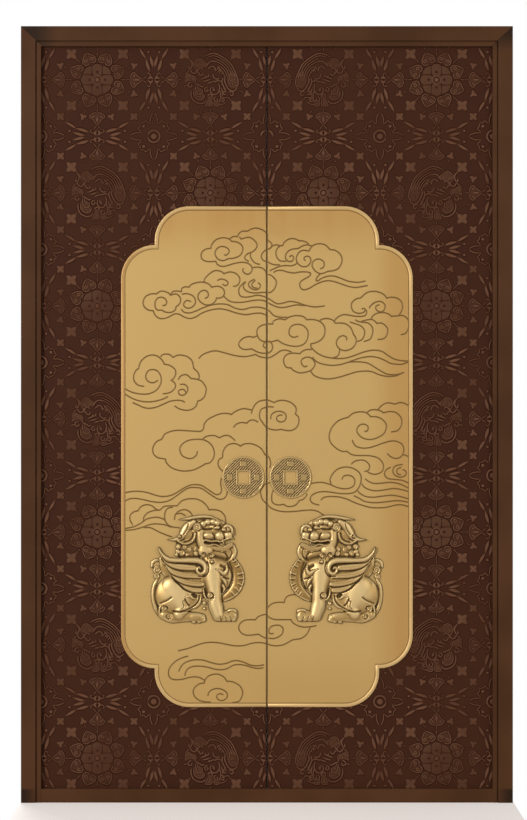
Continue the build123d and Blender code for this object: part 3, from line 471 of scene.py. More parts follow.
cloudLines = (
    # upper left bank, from the seam outwards
    "1 1760, -15 1772, -35 1777, -50 1773, -60 1767 | -76 1767, -86 1760, -91 1750 | -103 1751, -117 1743",
    "-84 1748, -80 1743 | -53 1748, -33 1732, -31 1718, -42 1705, -60 1697, -68 1688, -66 1680, -57 1674",
    "-49 1701, -51 1690, -44 1676, -33 1667, -22 1665",
    "-174 1714, -169 1728, -155 1742, -135 1747, -117 1743, -109 1736 | -94 1734, -80 1726, -74 1712,"
    "-82 1693, -102 1684, -120 1682 | -135 1676, -151 1681, -160 1695, -157 1710, -145 1719, -131 1719,"
    "-119 1712, -117 1702, -125 1693, -131 1694",
    "-174 1714, -188 1712, -201 1702, -203 1687, -196 1677, -179 1673, -158 1674 | -153 1664, -137 1658,"
    "-118 1662, -98 1668, -76 1671, -57 1667, -46 1655, -47 1643, -57 1634, -70 1638, -75 1647, -72 1651",
    "-46 1653, -33 1656, -17 1654, -5 1645, -1 1634 | 14 1630, 28 1615, 29 1603, 22 1587, 8 1577, -13 1578,"
    "-33 1576, -53 1578, -68 1586, -73 1598, -66 1609",
    "-66 1610, -72 1607, -84 1594, -87 1580, -82 1567, -68 1563, -49 1565, -29 1569, -9 1565, 8 1557,"
    "31 1543, 51 1545, 71 1550, 92 1547, 116 1539, 144 1533, 165 1534, 178 1536",
    "-39 1618, -51 1612, -57 1602, -51 1592, -39 1586, -27 1588, -20 1596, -22 1604, -27 1607",
    "-37 1614, -45 1606, -46 1598, -39 1592, -31 1591",
    "-194 1610, -192 1620, -179 1634, -161 1645, -143 1643, -133 1636 | -114 1641, -96 1636, -84 1622,"
    "-86 1606, -94 1598, -103 1597",
    "-152 1615, -143 1619, -131 1617, -121 1610, -122 1601, -131 1599, -136 1603",
    "-264 1582, -263 1590, -253 1595, -241 1594 | -232 1603, -212 1609, -194 1609, -179 1603, -171 1594 |"
    "-153 1597, -139 1592, -131 1580, -134 1567, -143 1561, -156 1560 | -159 1551, -171 1541, -188 1539,"
    "-204 1547, -213 1561, -210 1575, -200 1583, -188 1583, -181 1573, -183 1563, -191 1560",
    "-134 1567, -122 1555, -106 1548, -78 1547, -53 1551, -29 1554, -9 1552, 8 1543, 31 1533, 51 1531,"
    "71 1535, 92 1539, 116 1537",
    "-342 1573, -330 1581, -318 1581, -303 1575, -299 1569 | -281 1573, -269 1563, -267 1551, -273 1539,"
    "-281 1534 | -284 1523, -297 1516, -314 1517, -326 1523, -338 1523, -345 1531, -346 1545, -340 1558,"
    "-328 1563, -316 1559, -310 1549, -313 1539, -322 1537",
    "-342 1573, -358 1573, -375 1565, -383 1549, -379 1533, -366 1523, -352 1521 | -346 1508, -334 1498,"
    "-318 1497, -301 1503, -285 1511, -271 1510, -257 1502, -238 1497, -220 1502, -200 1514, -175 1523,"
    "-147 1527, -122 1523, -94 1514, -66 1509, -37 1513, -17 1513, 3 1505",
    "-264 1525, -257 1517, -240 1514, -220 1520, -200 1529, -175 1538, -147 1542, -122 1540, -98 1529,"
    "-74 1525, -49 1531, -25 1532, -5 1527, 8 1520, 22 1506, 43 1501, 61 1501",
    "-297 1571, -291 1580, -277 1582, -264 1580",
    "-262 1572, -249 1574, -232 1569, -222 1557, -222 1543, -232 1532, -247 1529, -257 1537, -255 1547,"
    "-247 1553, -236 1550",
    # left bank below it
    "-381 1287, -399 1291, -411 1305, -412 1321, -405 1336, -397 1342 | -391 1362, -375 1378, -356 1384,"
    "-338 1380, -324 1368, -318 1356 | -301 1352, -285 1340, -282 1325, -289 1311, -296 1306 | -285 1297,"
    "-283 1285, -293 1272, -307 1266, -321 1264",
    "-338 1305, -352 1298, -368 1303, -375 1317, -368 1334, -354 1339, -338 1334, -328 1317, -328 1297,"
    "-340 1277, -362 1265, -387 1263, -415 1268, -439 1279",
    "-307 1255, -318 1249, -337 1243, -363 1239, -389 1241, -415 1249, -439 1263",
    "-328 1380, -320 1386, -303 1386, -290 1377 | -273 1384, -249 1380, -232 1366, -226 1342 | -214 1331,"
    "-209 1317, -212 1309",
    "-274 1309, -265 1320, -249 1323, -234 1311 | -216 1309, -200 1301, -188 1281, -192 1258, -202 1246,"
    "-214 1241 | -219 1226, -232 1216, -251 1213, -270 1217, -285 1226",
    "-267 1293, -255 1293, -245 1283, -247 1270, -257 1260, -269 1261, -274 1270, -267 1277, -257 1277,"
    "-251 1269",
    "-414 1236, -400 1230, -382 1222, -363 1219, -341 1223, -318 1233, -299 1241, -277 1244, -262 1242,"
    "-255 1238",
    # middle bank over the coins
    "-194 1170, -197 1154, -206 1148, -221 1148, -251 1150, -277 1151, -299 1147, -316 1139, -322 1129 |"
    "-326 1123, -341 1116, -352 1099, -352 1081, -341 1068, -327 1064, -314 1062 | -311 1051, -296 1036,"
    "-273 1027, -251 1025, -225 1029, -202 1040, -191 1047 | -176 1051, -165 1066, -163 1085, -171 1105,"
    "-187 1118, -206 1123, -232 1122, -251 1116, -266 1103, -269 1088, -262 1073, -247 1065, -232 1064,"
    "-219 1073, -215 1085",
    "-194 1170, -184 1183, -161 1196, -139 1203, -120 1203, -110 1200 | -94 1211, -72 1218, -48 1214",
    "-48 1204, -38 1228, -23 1241, -1 1245, 5 1244, 22 1237 | 38 1243, 57 1243, 76 1236, 89 1223, 91 1211,"
    "88 1202 | 98 1191, 99 1176, 93 1161, 80 1152, 65 1150, 42 1154 | 31 1152, 12 1154, -3 1162, -14 1176,"
    "-22 1189, -22 1204, -16 1217, 1 1223, 7 1224, 20 1223",
    "-102 1161, -94 1170, -79 1175, -61 1173 | -55 1180, -42 1183, -28 1177",
    "-199 1123, -187 1132, -165 1135, -146 1128 | -131 1135, -115 1133, -99 1120",
    "12 1187, 14 1198, 24 1207, 38 1210, 52 1206, 59 1198, 59 1187, 52 1179, 40 1177, 31 1183, 32 1193,"
    "40 1198, 48 1198",
    "-137 1069, -135 1086, -124 1103, -107 1110, -92 1108, -82 1102 | -68 1109, -46 1109, -27 1101,"
    "-14 1090, -6 1075 | 1 1073, 9 1062, 12 1047, 9 1036",
    "-137 1067, -148 1060, -151 1047, -146 1034, -136 1024",
    "-141 1002, -143 987, -140 965, -145 955, -156 952, -169 959, -184 969, -202 980, -223 983, -243 979,"
    "-262 969, -281 957, -299 949, -322 946, -344 950, -370 958, -393 962, -415 962, -438 958",
    "-121 965, -126 948, -135 939, -150 938, -165 946, -184 959, -202 971, -221 974, -240 973, -258 964,"
    "-277 950, -296 937, -314 930, -337 928, -359 931, -385 937, -404 940, -423 939, -438 933",
    "-6 984, -19 965, -18 950, -12 935, 1 922, 12 911, 31 903, 57 899, 87 900, 113 903, 139 904, 158 900,"
    "173 890, 192 881",
    "-6 985, 10 989",
    # clouds behind the left beast
    "-416 859, -423 872, -423 887, -413 898, -399 902 | -389 915, -372 921, -355 917, -346 909, -338 905",
    "-331 904, -318 915, -303 917, -285 917, -277 918 | -262 933, -240 939, -217 938, -199 930, -186 917,"
    "-179 905 | -161 905, -143 900, -130 885, -127 864",
    "-382 870, -380 883, -368 896, -348 903, -331 904",
    "-292 913, -307 909, -315 896, -316 875, -309 862, -296 853, -270 849",
    "-286 875, -283 890, -270 902, -251 905, -236 896, -230 885",
    "-281 892, -266 894, -253 887",
    "-438 847, -411 853, -389 864, -370 877, -344 882, -327 879, -316 874",
    "-438 841, -411 844, -385 851, -359 860, -337 861, -314 858, -296 851",
    "-380 850, -359 849, -337 838, -314 828, -294 821",
    # right bank over the coins
    "248 1086, 233 1086, 214 1096, 197 1114, 193 1135, 201 1159, 218 1178, 236 1187, 251 1191 | 266 1203,"
    "285 1208, 303 1207, 315 1200, 321 1193 | 337 1193, 354 1187, 367 1174, 370 1159, 363 1142, 348 1131,"
    "330 1124, 311 1123, 294 1129, 281 1142, 279 1155, 287 1167, 300 1170, 311 1165, 314 1155, 309 1148,"
    "303 1148",
    "308 1204, 318 1212, 333 1215, 350 1212, 361 1205 | 378 1209, 397 1207, 412 1195, 418 1180, 415 1163,"
    "404 1150, 386 1146",
    "345 1216, 356 1228, 374 1236, 397 1232 | 412 1237, 427 1234, 440 1226",
    "265 1120, 268 1111, 277 1101, 296 1096, 315 1097, 337 1103, 359 1111, 386 1118, 404 1116, 419 1107,"
    "424 1092, 421 1077, 412 1067, 397 1064, 382 1070, 374 1078",
    "423 1075, 432 1073, 440 1068",
    "248 1086, 257 1079, 270 1074, 289 1073, 311 1073, 330 1070, 346 1064, 358 1051, 361 1038, 358 1025,"
    "345 1017, 330 1015, 313 1021",
    "262 1047, 272 1055, 289 1059, 303 1057, 315 1047, 318 1036, 313 1026, 303 1024",
    "233 1000, 238 1009, 251 1012, 264 1008, 272 997, 270 982, 259 973, 240 970, 218 974, 199 982,"
    "180 988, 162 990, 139 987",
    "199 982, 196 999, 203 1015, 218 1030, 240 1037, 262 1035, 283 1023, 292 1006, 290 987, 283 971,"
    "270 959, 248 955, 221 956, 195 960, 169 961, 147 955, 135 943, 136 931, 145 924, 161 920",
    "305 1000, 315 993, 330 987, 352 987, 382 990, 408 986, 427 978, 440 971",
    "294 984, 303 974, 322 966, 341 964, 367 967, 393 971, 419 967, 440 961",
    "281 963, 289 955, 307 946, 330 944, 356 947, 386 950, 412 946, 440 938",
    "270 948, 285 941, 303 931, 333 927, 363 929, 397 933, 419 932, 440 928",
    "168 936, 177 943, 192 946, 221 945, 248 938, 270 928, 292 920, 318 913, 345 911, 371 913, 401 920,"
    "419 920, 440 914",
    "382 1036, 371 1030, 364 1019, 367 1008, 378 1001, 397 999, 419 996, 440 987",
    "419 1045, 404 1043, 393 1036, 390 1023, 397 1012, 412 1006, 427 1010, 432 1019, 427 1027, 421 1029",
    "415 1036, 406 1032, 402 1023, 406 1015, 414 1014",
    "22 967, 16 954, 15 935, 22 924, 37 920, 52 922 | 57 918, 68 915, 83 917, 94 924, 100 933 | 113 938,"
    "121 946, 124 954",
    # upper right bank
    "14 1720, 29 1725, 41 1722, 49 1723 | 55 1734, 69 1743, 85 1744, 99 1738 | 112 1737, 124 1732,"
    "129 1728",
    "100 1716, 112 1722, 124 1725, 138 1722",
    "130 1706, 140 1721, 153 1727, 169 1728, 183 1723, 196 1710 | 211 1708, 226 1697, 233 1681, 230 1665,"
    "220 1651, 205 1645, 189 1643 | 177 1638, 165 1636, 151 1643, 141 1657, 142 1671, 153 1680, 165 1680,"
    "175 1673, 178 1663, 173 1654, 166 1651",
    "130 1706, 112 1708, 100 1702, 92 1689, 92 1675, 100 1663, 114 1657, 128 1661, 136 1673, 134 1685,"
    "126 1690, 117 1687, 115 1681, 119 1677",
    "41 1722, 31 1712, 28 1697, 33 1683, 43 1675, 59 1674",
    "100 1714, 81 1712, 67 1706, 58 1693, 59 1681, 67 1674, 77 1674, 83 1682, 81 1690, 75 1692, 71 1688",
    "2 1757, 2 1740, 10 1734, 16 1726, 14 1718, 6 1712, -5 1708, -15 1697, -17 1687, -11 1677, 2 1673 |"
    "14 1666, 27 1663, 39 1663",
    "10 1645, 22 1651, 39 1658, 59 1661, 75 1660, 90 1665, 94 1672",
    "22 1640, 31 1645, 47 1646, 63 1641, 83 1638, 104 1641, 124 1641, 135 1637, 132 1628, 116 1619,"
    "104 1610, 102 1598, 108 1588, 118 1586, 132 1591, 149 1601, 169 1610, 189 1614, 209 1611, 230 1604,"
    "254 1596, 275 1593, 295 1596, 311 1599",
    "165 1635, 157 1626, 152 1616, 157 1613, 169 1621, 189 1628, 209 1628, 230 1621, 250 1613, 275 1609,"
    "291 1610, 304 1613",
    # right bank below it
    "291 1561, 275 1557, 263 1545, 262 1531, 268 1519, 283 1513, 297 1515, 305 1523, 301 1528, 295 1527",
    "303 1526, 309 1519, 306 1508, 297 1504, 275 1504, 242 1509, 226 1505, 214 1496, 209 1489",
    "291 1561, 301 1571, 315 1579, 335 1581, 356 1575, 366 1567, 371 1560 | 386 1563, 405 1559, 417 1547,"
    "420 1531, 415 1516, 409 1508",
    "385 1504, 401 1505, 421 1506, 435 1496, 440 1480, 437 1464, 429 1451, 416 1447",
    "323 1496, 329 1506, 344 1514, 364 1515, 378 1510, 386 1503",
    "317 1530, 327 1542, 344 1550, 358 1547, 366 1537, 364 1525, 354 1517, 342 1521, 337 1529, 340 1537,"
    "348 1539",
    "293 1488, 307 1492, 323 1494, 333 1490, 340 1482 | 354 1483, 366 1476, 374 1464, 372 1447, 362 1435,"
    "344 1432",
    "275 1492, 285 1487, 301 1485, 315 1482, 327 1468, 327 1449, 319 1433, 301 1426",
    "258 1486, 270 1482, 291 1474, 302 1460, 301 1443, 293 1431, 281 1426",
    "2 1480, -17 1475, -29 1464, -30 1447, -23 1433, -11 1426, 4 1425, 14 1425, 33 1430 | 51 1419,"
    "75 1412, 100 1412, 118 1421, 127 1439, 126 1460, 112 1475, 94 1479, 77 1474, 69 1460, 71 1445,"
    "83 1439, 96 1442",
    "-31 1443, -41 1439, -57 1441, -76 1434, -87 1419, -82 1407, -68 1401, -47 1403 | -33 1395, -17 1390,"
    "3 1390, 14 1397, 18 1407, 15 1419, 6 1426, -4 1425, -9 1419, -11 1411, -3 1405",
    "-210 1374, -200 1384, -183 1392, -159 1397, -135 1392, -106 1384, -74 1379, -49 1382, -35 1386 |"
    "-25 1380, -9 1376, 8 1376, 27 1386, 43 1397, 59 1399, 75 1394",
    "2 1480, 18 1480 | 22 1490, 39 1496, 56 1493 | 71 1502, 92 1506, 112 1503, 124 1493 | 140 1494,"
    "159 1490, 173 1480, 180 1464, 177 1443, 165 1429, 151 1422, 136 1418 | 138 1407, 153 1392, 173 1381,"
    "197 1375, 222 1373, 246 1375, 275 1384, 303 1394, 331 1399, 356 1395, 376 1382, 396 1371, 421 1366,"
    "441 1365",
    "142 1376, 153 1364, 173 1356, 201 1352, 230 1355, 258 1364, 287 1374, 315 1379, 340 1377, 364 1368,"
    "384 1358, 413 1355, 429 1359, 441 1364",
    "254 1362, 283 1363, 311 1359, 331 1348, 352 1335, 372 1325, 396 1323, 413 1326, 423 1330",
    "136 1333, 146 1321, 165 1313, 189 1310, 218 1314, 246 1322, 275 1331, 299 1334, 323 1333, 348 1323,"
    "372 1318, 396 1319, 413 1325",
    "165 1492, 181 1497, 197 1495, 207 1489, 211 1483 | 238 1482, 254 1474, 262 1464, 268 1448 | 276 1435,"
    "275 1419, 264 1405, 246 1398, 228 1401, 217 1413, 216 1427, 224 1439, 236 1444, 246 1439, 247 1431",
    "225 1403, 224 1390, 218 1380, 207 1376",
    "102 1388, 112 1397, 124 1401, 138 1401",
    "102 1388, 81 1390, 63 1386, 53 1374, 53 1358, 61 1346, 75 1344 | 81 1337, 100 1329, 120 1331,"
    "138 1338, 149 1354, 144 1368, 132 1377, 118 1376, 107 1368, 108 1356, 116 1348, 124 1350",
    # clouds near the foot
    "-273 469, -247 475, -222 484, -197 492, -172 495, -147 493, -122 488, -97 484, -71 485, -46 492,"
    "-21 494, 1 490, 12 486, 31 484, 50 487, 65 494, 78 502 | 90 504, 106 507, 122 518, 129 529, 133 538",
    "-245 452, -259 448, -278 439, -294 425, -303 410, -304 394, -297 383, -281 379, -259 381, -241 386,"
    "-222 388, -206 385, -194 378",
    "-272 406, -267 417, -256 430, -237 438, -216 441, -194 439, -172 432, -147 427, -125 430, -106 437,"
    "-90 438, -71 433, -53 425, -31 422, -10 425",
    "-253 392, -252 400, -244 413, -228 420, -206 421, -184 418, -162 412, -140 410, -122 414, -103 424,"
    "-84 426, -65 423, -46 417, -28 414, -12 416",
    "-194 369, -190 380, -181 390, -165 396, -150 396, -134 388, -123 374 | -112 374, -97 369, -82 358,"
    "-75 342, -78 325, -87 312, -106 308",
    "-194 369, -209 366, -223 355, -228 342, -224 328, -212 317, -194 311, -175 310",
    "-182 330, -180 339, -170 348, -153 352, -136 348, -124 338, -123 325, -133 316, -145 315, -154 322,"
    "-154 331, -145 336, -136 333",
    "1 582, -15 579, -28 573, -35 565 | -50 565, -68 563, -82 554, -87 541, -82 527, -68 518, -50 517,"
    "-26 520 | -18 515, -6 509, 10 507, 24 507, 40 514, 49 524, 50 537, 42 546, 28 548, 13 543, 7 533,"
    "6 529, 9 522, 20 522",
    "54 618, 37 619, 18 615, 4 604, -1 591, 2 577, 15 568, 31 565, 53 565, 75 565 | 81 555, 97 546,"
    "115 542, 134 543, 152 546",
    "54 618, 57 629, 65 638, 78 642, 90 642, 100 641",
)


def grooveLoops(line, halves):
    # the line itself, and a closed loop round it at each half width, with a round cap at both ends
    ahead = np.gradient(line)
    ahead = ahead / np.maximum(np.abs(ahead), 1e-9)
    turn = np.exp(1j * np.linspace(-np.pi / 2, np.pi / 2, 5)[1:-1])
    loops = [(line, False)]
    for half in halves:
        right, left = line - 1j * ahead * half, line + 1j * ahead * half
        far, near = line[-1] + ahead[-1] * turn * half, line[0] - ahead[0] * turn * half
        loops.append((np.concatenate([right, far, left[::-1], near]), True))
    return loops


def goldPlate(side):
    # A flat sheet of triangles between the outline, the rim's steps and the edges of every cut line.
    # Height = rim profile by inset from the outline, less a round groove by distance from the cloud lines.
    sign = sides[side]
    lines = [spline(run, plate["grooveSpacing"]) for text in cloudLines for run in strokesFrom(text)]
    lines = [sign * line.real + 1j * line.imag for line in lines]
    lines = [line for line in lines if line.real.max() > 0]
    half = plate["grooveHalf"]
    loops = [(outlineAt(inset), inset == 0) for inset in plate["rimInsets"]]
    for line in lines:
        loops += grooveLoops(line, (half * plate["grooveInner"], half, plate["grooveShadeHalf"]))
    stop = plate["seam"] + plate["seamRound"]
    limits = (plate["bottom"] + plate["seamEnd"], plate["top"] - plate["seamEnd"])
    loops.append((np.array([complex(stop, limit) for limit in limits]), False))
    points, edges = [], []
    for loop, closed in loops:
        first = sum(len(p) for p in points)
        steps = np.arange(first, first + len(loop))
        points.append(loop)
        edges.append(np.stack([steps[:-1], steps[1:]], 1))
        if closed:
            edges.append(np.array([[steps[-1], steps[0]]]))
    flat = np.concatenate(points)
    vertices, _, triangles, _, _, _ = delaunay_2d_cdt(
        [Vector((p.real, p.imag)) for p in flat], np.concatenate(edges).tolist(), [], 0, 1e-4)
    spots = np.array([complex(v[0], v[1]) for v in vertices])
    faces = np.array([t for t in triangles if len(t) == 3])
    centre = spots[faces].mean(axis=1)
    a, b, c = spots[faces].T
    area = ((b - a).conj() * (c - a)).imag
    keep = (outlineInset(centre.real, centre.imag) > 0) & (centre.real > plate["seam"])
    faces, area = faces[keep], area[keep]
    faces[area < 0] = faces[area < 0][:, ::-1]
    used, faces = np.unique(faces, return_inverse=True)
    faces = faces.reshape(-1, 3)
    spots = spots[used]
    inset = outlineInset(spots.real, spots.imag)
    height = np.interp(inset, plate["rimInsets"], plate["rimHeights"])
    starts = np.concatenate([line[:-1] for line in lines])
    ends = np.concatenate([line[1:] for line in lines])
    reach = nearest(spots, starts, ends)
    inside = inset > plate["rimInsets"][-1]
    groove = np.where(inside, 1 - np.clip(reach / half, 0, 1) ** 2, 0)
    height = height - plate["grooveDepth"] * groove
    seamDrop = np.clip((stop - spots.real) / plate["seamRound"], 0, 1)
    height = height - plate["seamDrop"] * seamDrop
    height = np.where(np.abs(height) < plate["level"], 0, height)
    # sunk: painted shade along the cloud grooves, in the cut line inside the rim and at the seam's rounded edge
    sunk = np.where(inside, np.clip(plate["grooveShadePeak"] * (1 - reach / plate["grooveShadeHalf"]), 0, 1), 0)
    cut = (inset > plate["cutBand"][0]) & (inset < plate["cutBand"][1])
    sunk = np.where(cut, plate["cutShade"], sunk)
    sunk = np.maximum(sunk, plate["seamShade"] * seamDrop)
    rim = np.clip((plate["rimEnd"] - inset) / plate["rimFade"], 0, 1)
    count = len(spots)
    # the wall goes from the front's open edges to the back, which repeats the rim's corners
    border = openEdges(faces, count)
    nextOne = dict(border.tolist())
    ring = [border[0, 0]]
    while nextOne[ring[-1]] != ring[0]:
        ring.append(nextOne[ring[-1]])
    ring = np.array(ring)
    backRing = count + np.arange(len(ring))
    walls = np.stack([ring, backRing, np.roll(backRing, -1), np.roll(ring, -1)], 1)
    front = np.stack([sign * spots.real, plate["face"] - height, spots.imag], 1)
    back = front[ring].copy()
    back[:, 1] = plate["back"]
    allPoints = np.concatenate([front, back])
    backFace = backRing[::-1][None] if sign > 0 else backRing[None]
    if sign < 0:
        faces, walls = faces[:, ::-1], walls[:, ::-1]
    flatFace = np.abs(height[faces]).max(axis=1) == 0
    smooth = np.concatenate([~flatFace, np.zeros(len(walls) + 1, bool)])
    pad = np.zeros(len(ring))
    makePiece(side + "_gold_plate", allPoints, [faces, walls, backFace], finishes["gold"], side + "_leaf",
              [side + "_cartouche"], smooth,
              {"sunk": np.concatenate([sunk, pad]), "rim": np.concatenate([rim, pad])})


for side in sides:
    goldPlate(side)
print("gold plates done")


# Brocade: rosettes, phoenix roundels, garlands and stars in low relief on each leaf's front plate

panelLow, panelHigh = cadEdges("right_field_panel")
brocade = {
    "pitch": 350.0, "foot": 136.0, "columns": 2, "rows": 7, "relief": 1.2, "edge": 3.0, "underPlate": 2.0,
    "edgeRound": 0.8, "line": 2.4, "lineRise": 1.2, "leafRise": 1.05, "fillRise": 0.55, "tintRise": 0.05,
    # halo is the width of the dark ring of painted shade round each ridge and fill
    "halo": 2.2, "buried": -0.03, "footRise": 0.12, "spacing": 4.2, "footWide": 1.15, "crestWide": 0.66,
    # a fill's shoulder and top: how far inside its outline, and the shoulder's share of its rise
    "shoulderIn": -0.9, "topIn": -2.0, "shoulderRise": 0.8,
    # how a stroke is sampled: first steps, the bend at which spacing is as given, its range, and the most steps
    "sample": 3.0, "bend": 15, "spacingRange": (0.8, 2.2), "mostSteps": 26, "seamEdge": 0.8,
    # the paint's tone, with painted shade and highlight: darkest at the foot of a ridge, then the ground, then fills,
    # lightest on a crest
    "footTone": 0.02, "groundTone": 0.35, "fillTone": 0.72, "lobeTone": 0.88, "crestTone": 1.0,
}
brocade["face"] = panelLow[1] + brocade["relief"]


def turned(strokes, degrees):
    return [(points * np.exp(1j * np.radians(degrees)), *rest) for points, *rest in strokes]


def moved(strokes, place):
    return [(points + place, *rest) for points, *rest in strokes]


def bothHands(strokes):
    # the strokes and their mirror images over the real axis, which points outwards from the motif
    return strokes + [(points.conj(), *rest) for points, *rest in strokes]


def otherHand(strokes):
    return [(-points.conj(), *rest) for points, *rest in strokes]


def around(strokes, count, first=0.0):
    return [stroke for k in range(count) for stroke in turned(strokes, first + 360 * k / count)]


def line(text, width=None):
    # an even ridge through the given points
    return [(trace(text), width or brocade["line"], brocade["lineRise"], "line")]


def leaf(text, width):
    # a leaf with a pointed tip at both ends, width being half its breadth
    return [(trace(text), width, brocade["leafRise"], "leaf")]


def arc(x, z, radius, start, end, width=None):
    turns = np.radians(np.linspace(start, end, max(4, int(abs(end - start) / 24) + 2)))
    points = complex(x, z) + radius * np.exp(1j * turns)
    return [(points, width or brocade["line"], brocade["lineRise"], "line")]


def curl(x, z, radius, start, turns):
    # a spiral that closes to a quarter of its radius
    t = np.linspace(0, 1, 4 + int(abs(turns) * 9))
    points = complex(x, z) + radius * (1 - 0.75 * t) * np.exp(1j * (np.radians(start) + 2 * np.pi * turns * t))
    return [(points, brocade["line"] * 0.9, brocade["lineRise"], "line")]


def fill(text, mirror=False, tone=None, rise=None):
    # a low flat area inside an outline, which is mirrored over the real axis where only half is given
    points = trace(text)
    if mirror:
        points = np.concatenate([points, points[1:-1][::-1].conj()])
    return [(points, tone or brocade["fillTone"], rise or brocade["fillRise"], "fill")]


def lobed(x, radius, depth, lobes, count):
    # radius(angle) = radius + depth * cos(lobes * angle)
    angle = 2 * np.pi * np.arange(count) / count
    points = x + (radius + depth * np.cos(lobes * angle)) * np.exp(1j * angle)
    return [(points, brocade["lobeTone"], brocade["fillRise"] * 1.2, "fill")]


def dot(x, z, radius, tone=1.0, rise=1.0):
    count = 8 if radius < 9 else 12
    points = complex(x, z) + radius * np.exp(2j * np.pi * np.arange(count) / count)
    return [(points, tone, rise, "fill")]


def rosette():
    heart = "58 0, 53.5 7, 54.5 16, 62 21, 73 18, 83 9, 91 0"
    petal = fill("58 0, 52 8, 54 18, 63 23, 75 20, 85 10, 92 0", True, 0.55, brocade["tintRise"])
    petal += bothHands(line(heart, 1.9) + curl(66, 9.5, 6.5, 150, -1.3) + line("63 2, 70 2, 77 3, 84 0.5", 1.2))
    axisPetal = fill("13 0, 13 13, 26 15.4, 42 15.6, 48 10, 50.5 0", True) + dot(24, 0, 5.2, 0.02, 0.66)
    cornerPetal = fill("23.6 0, 33 9.4, 42 18.4, 46.5 14, 49.5 6, 50.5 0", True)
    strokes = around(petal, 8, 22.5) + around(axisPetal, 4) + around(cornerPetal, 4, 45)
    strokes += around(line("72 0, 82 0, 90 0", 1.5), 8) + dot(0, 0, 16, 0.85, 0.66) + dot(0, 0, 12, 0.02, 0.72)
    return strokes + dot(0, 0, 7.5)


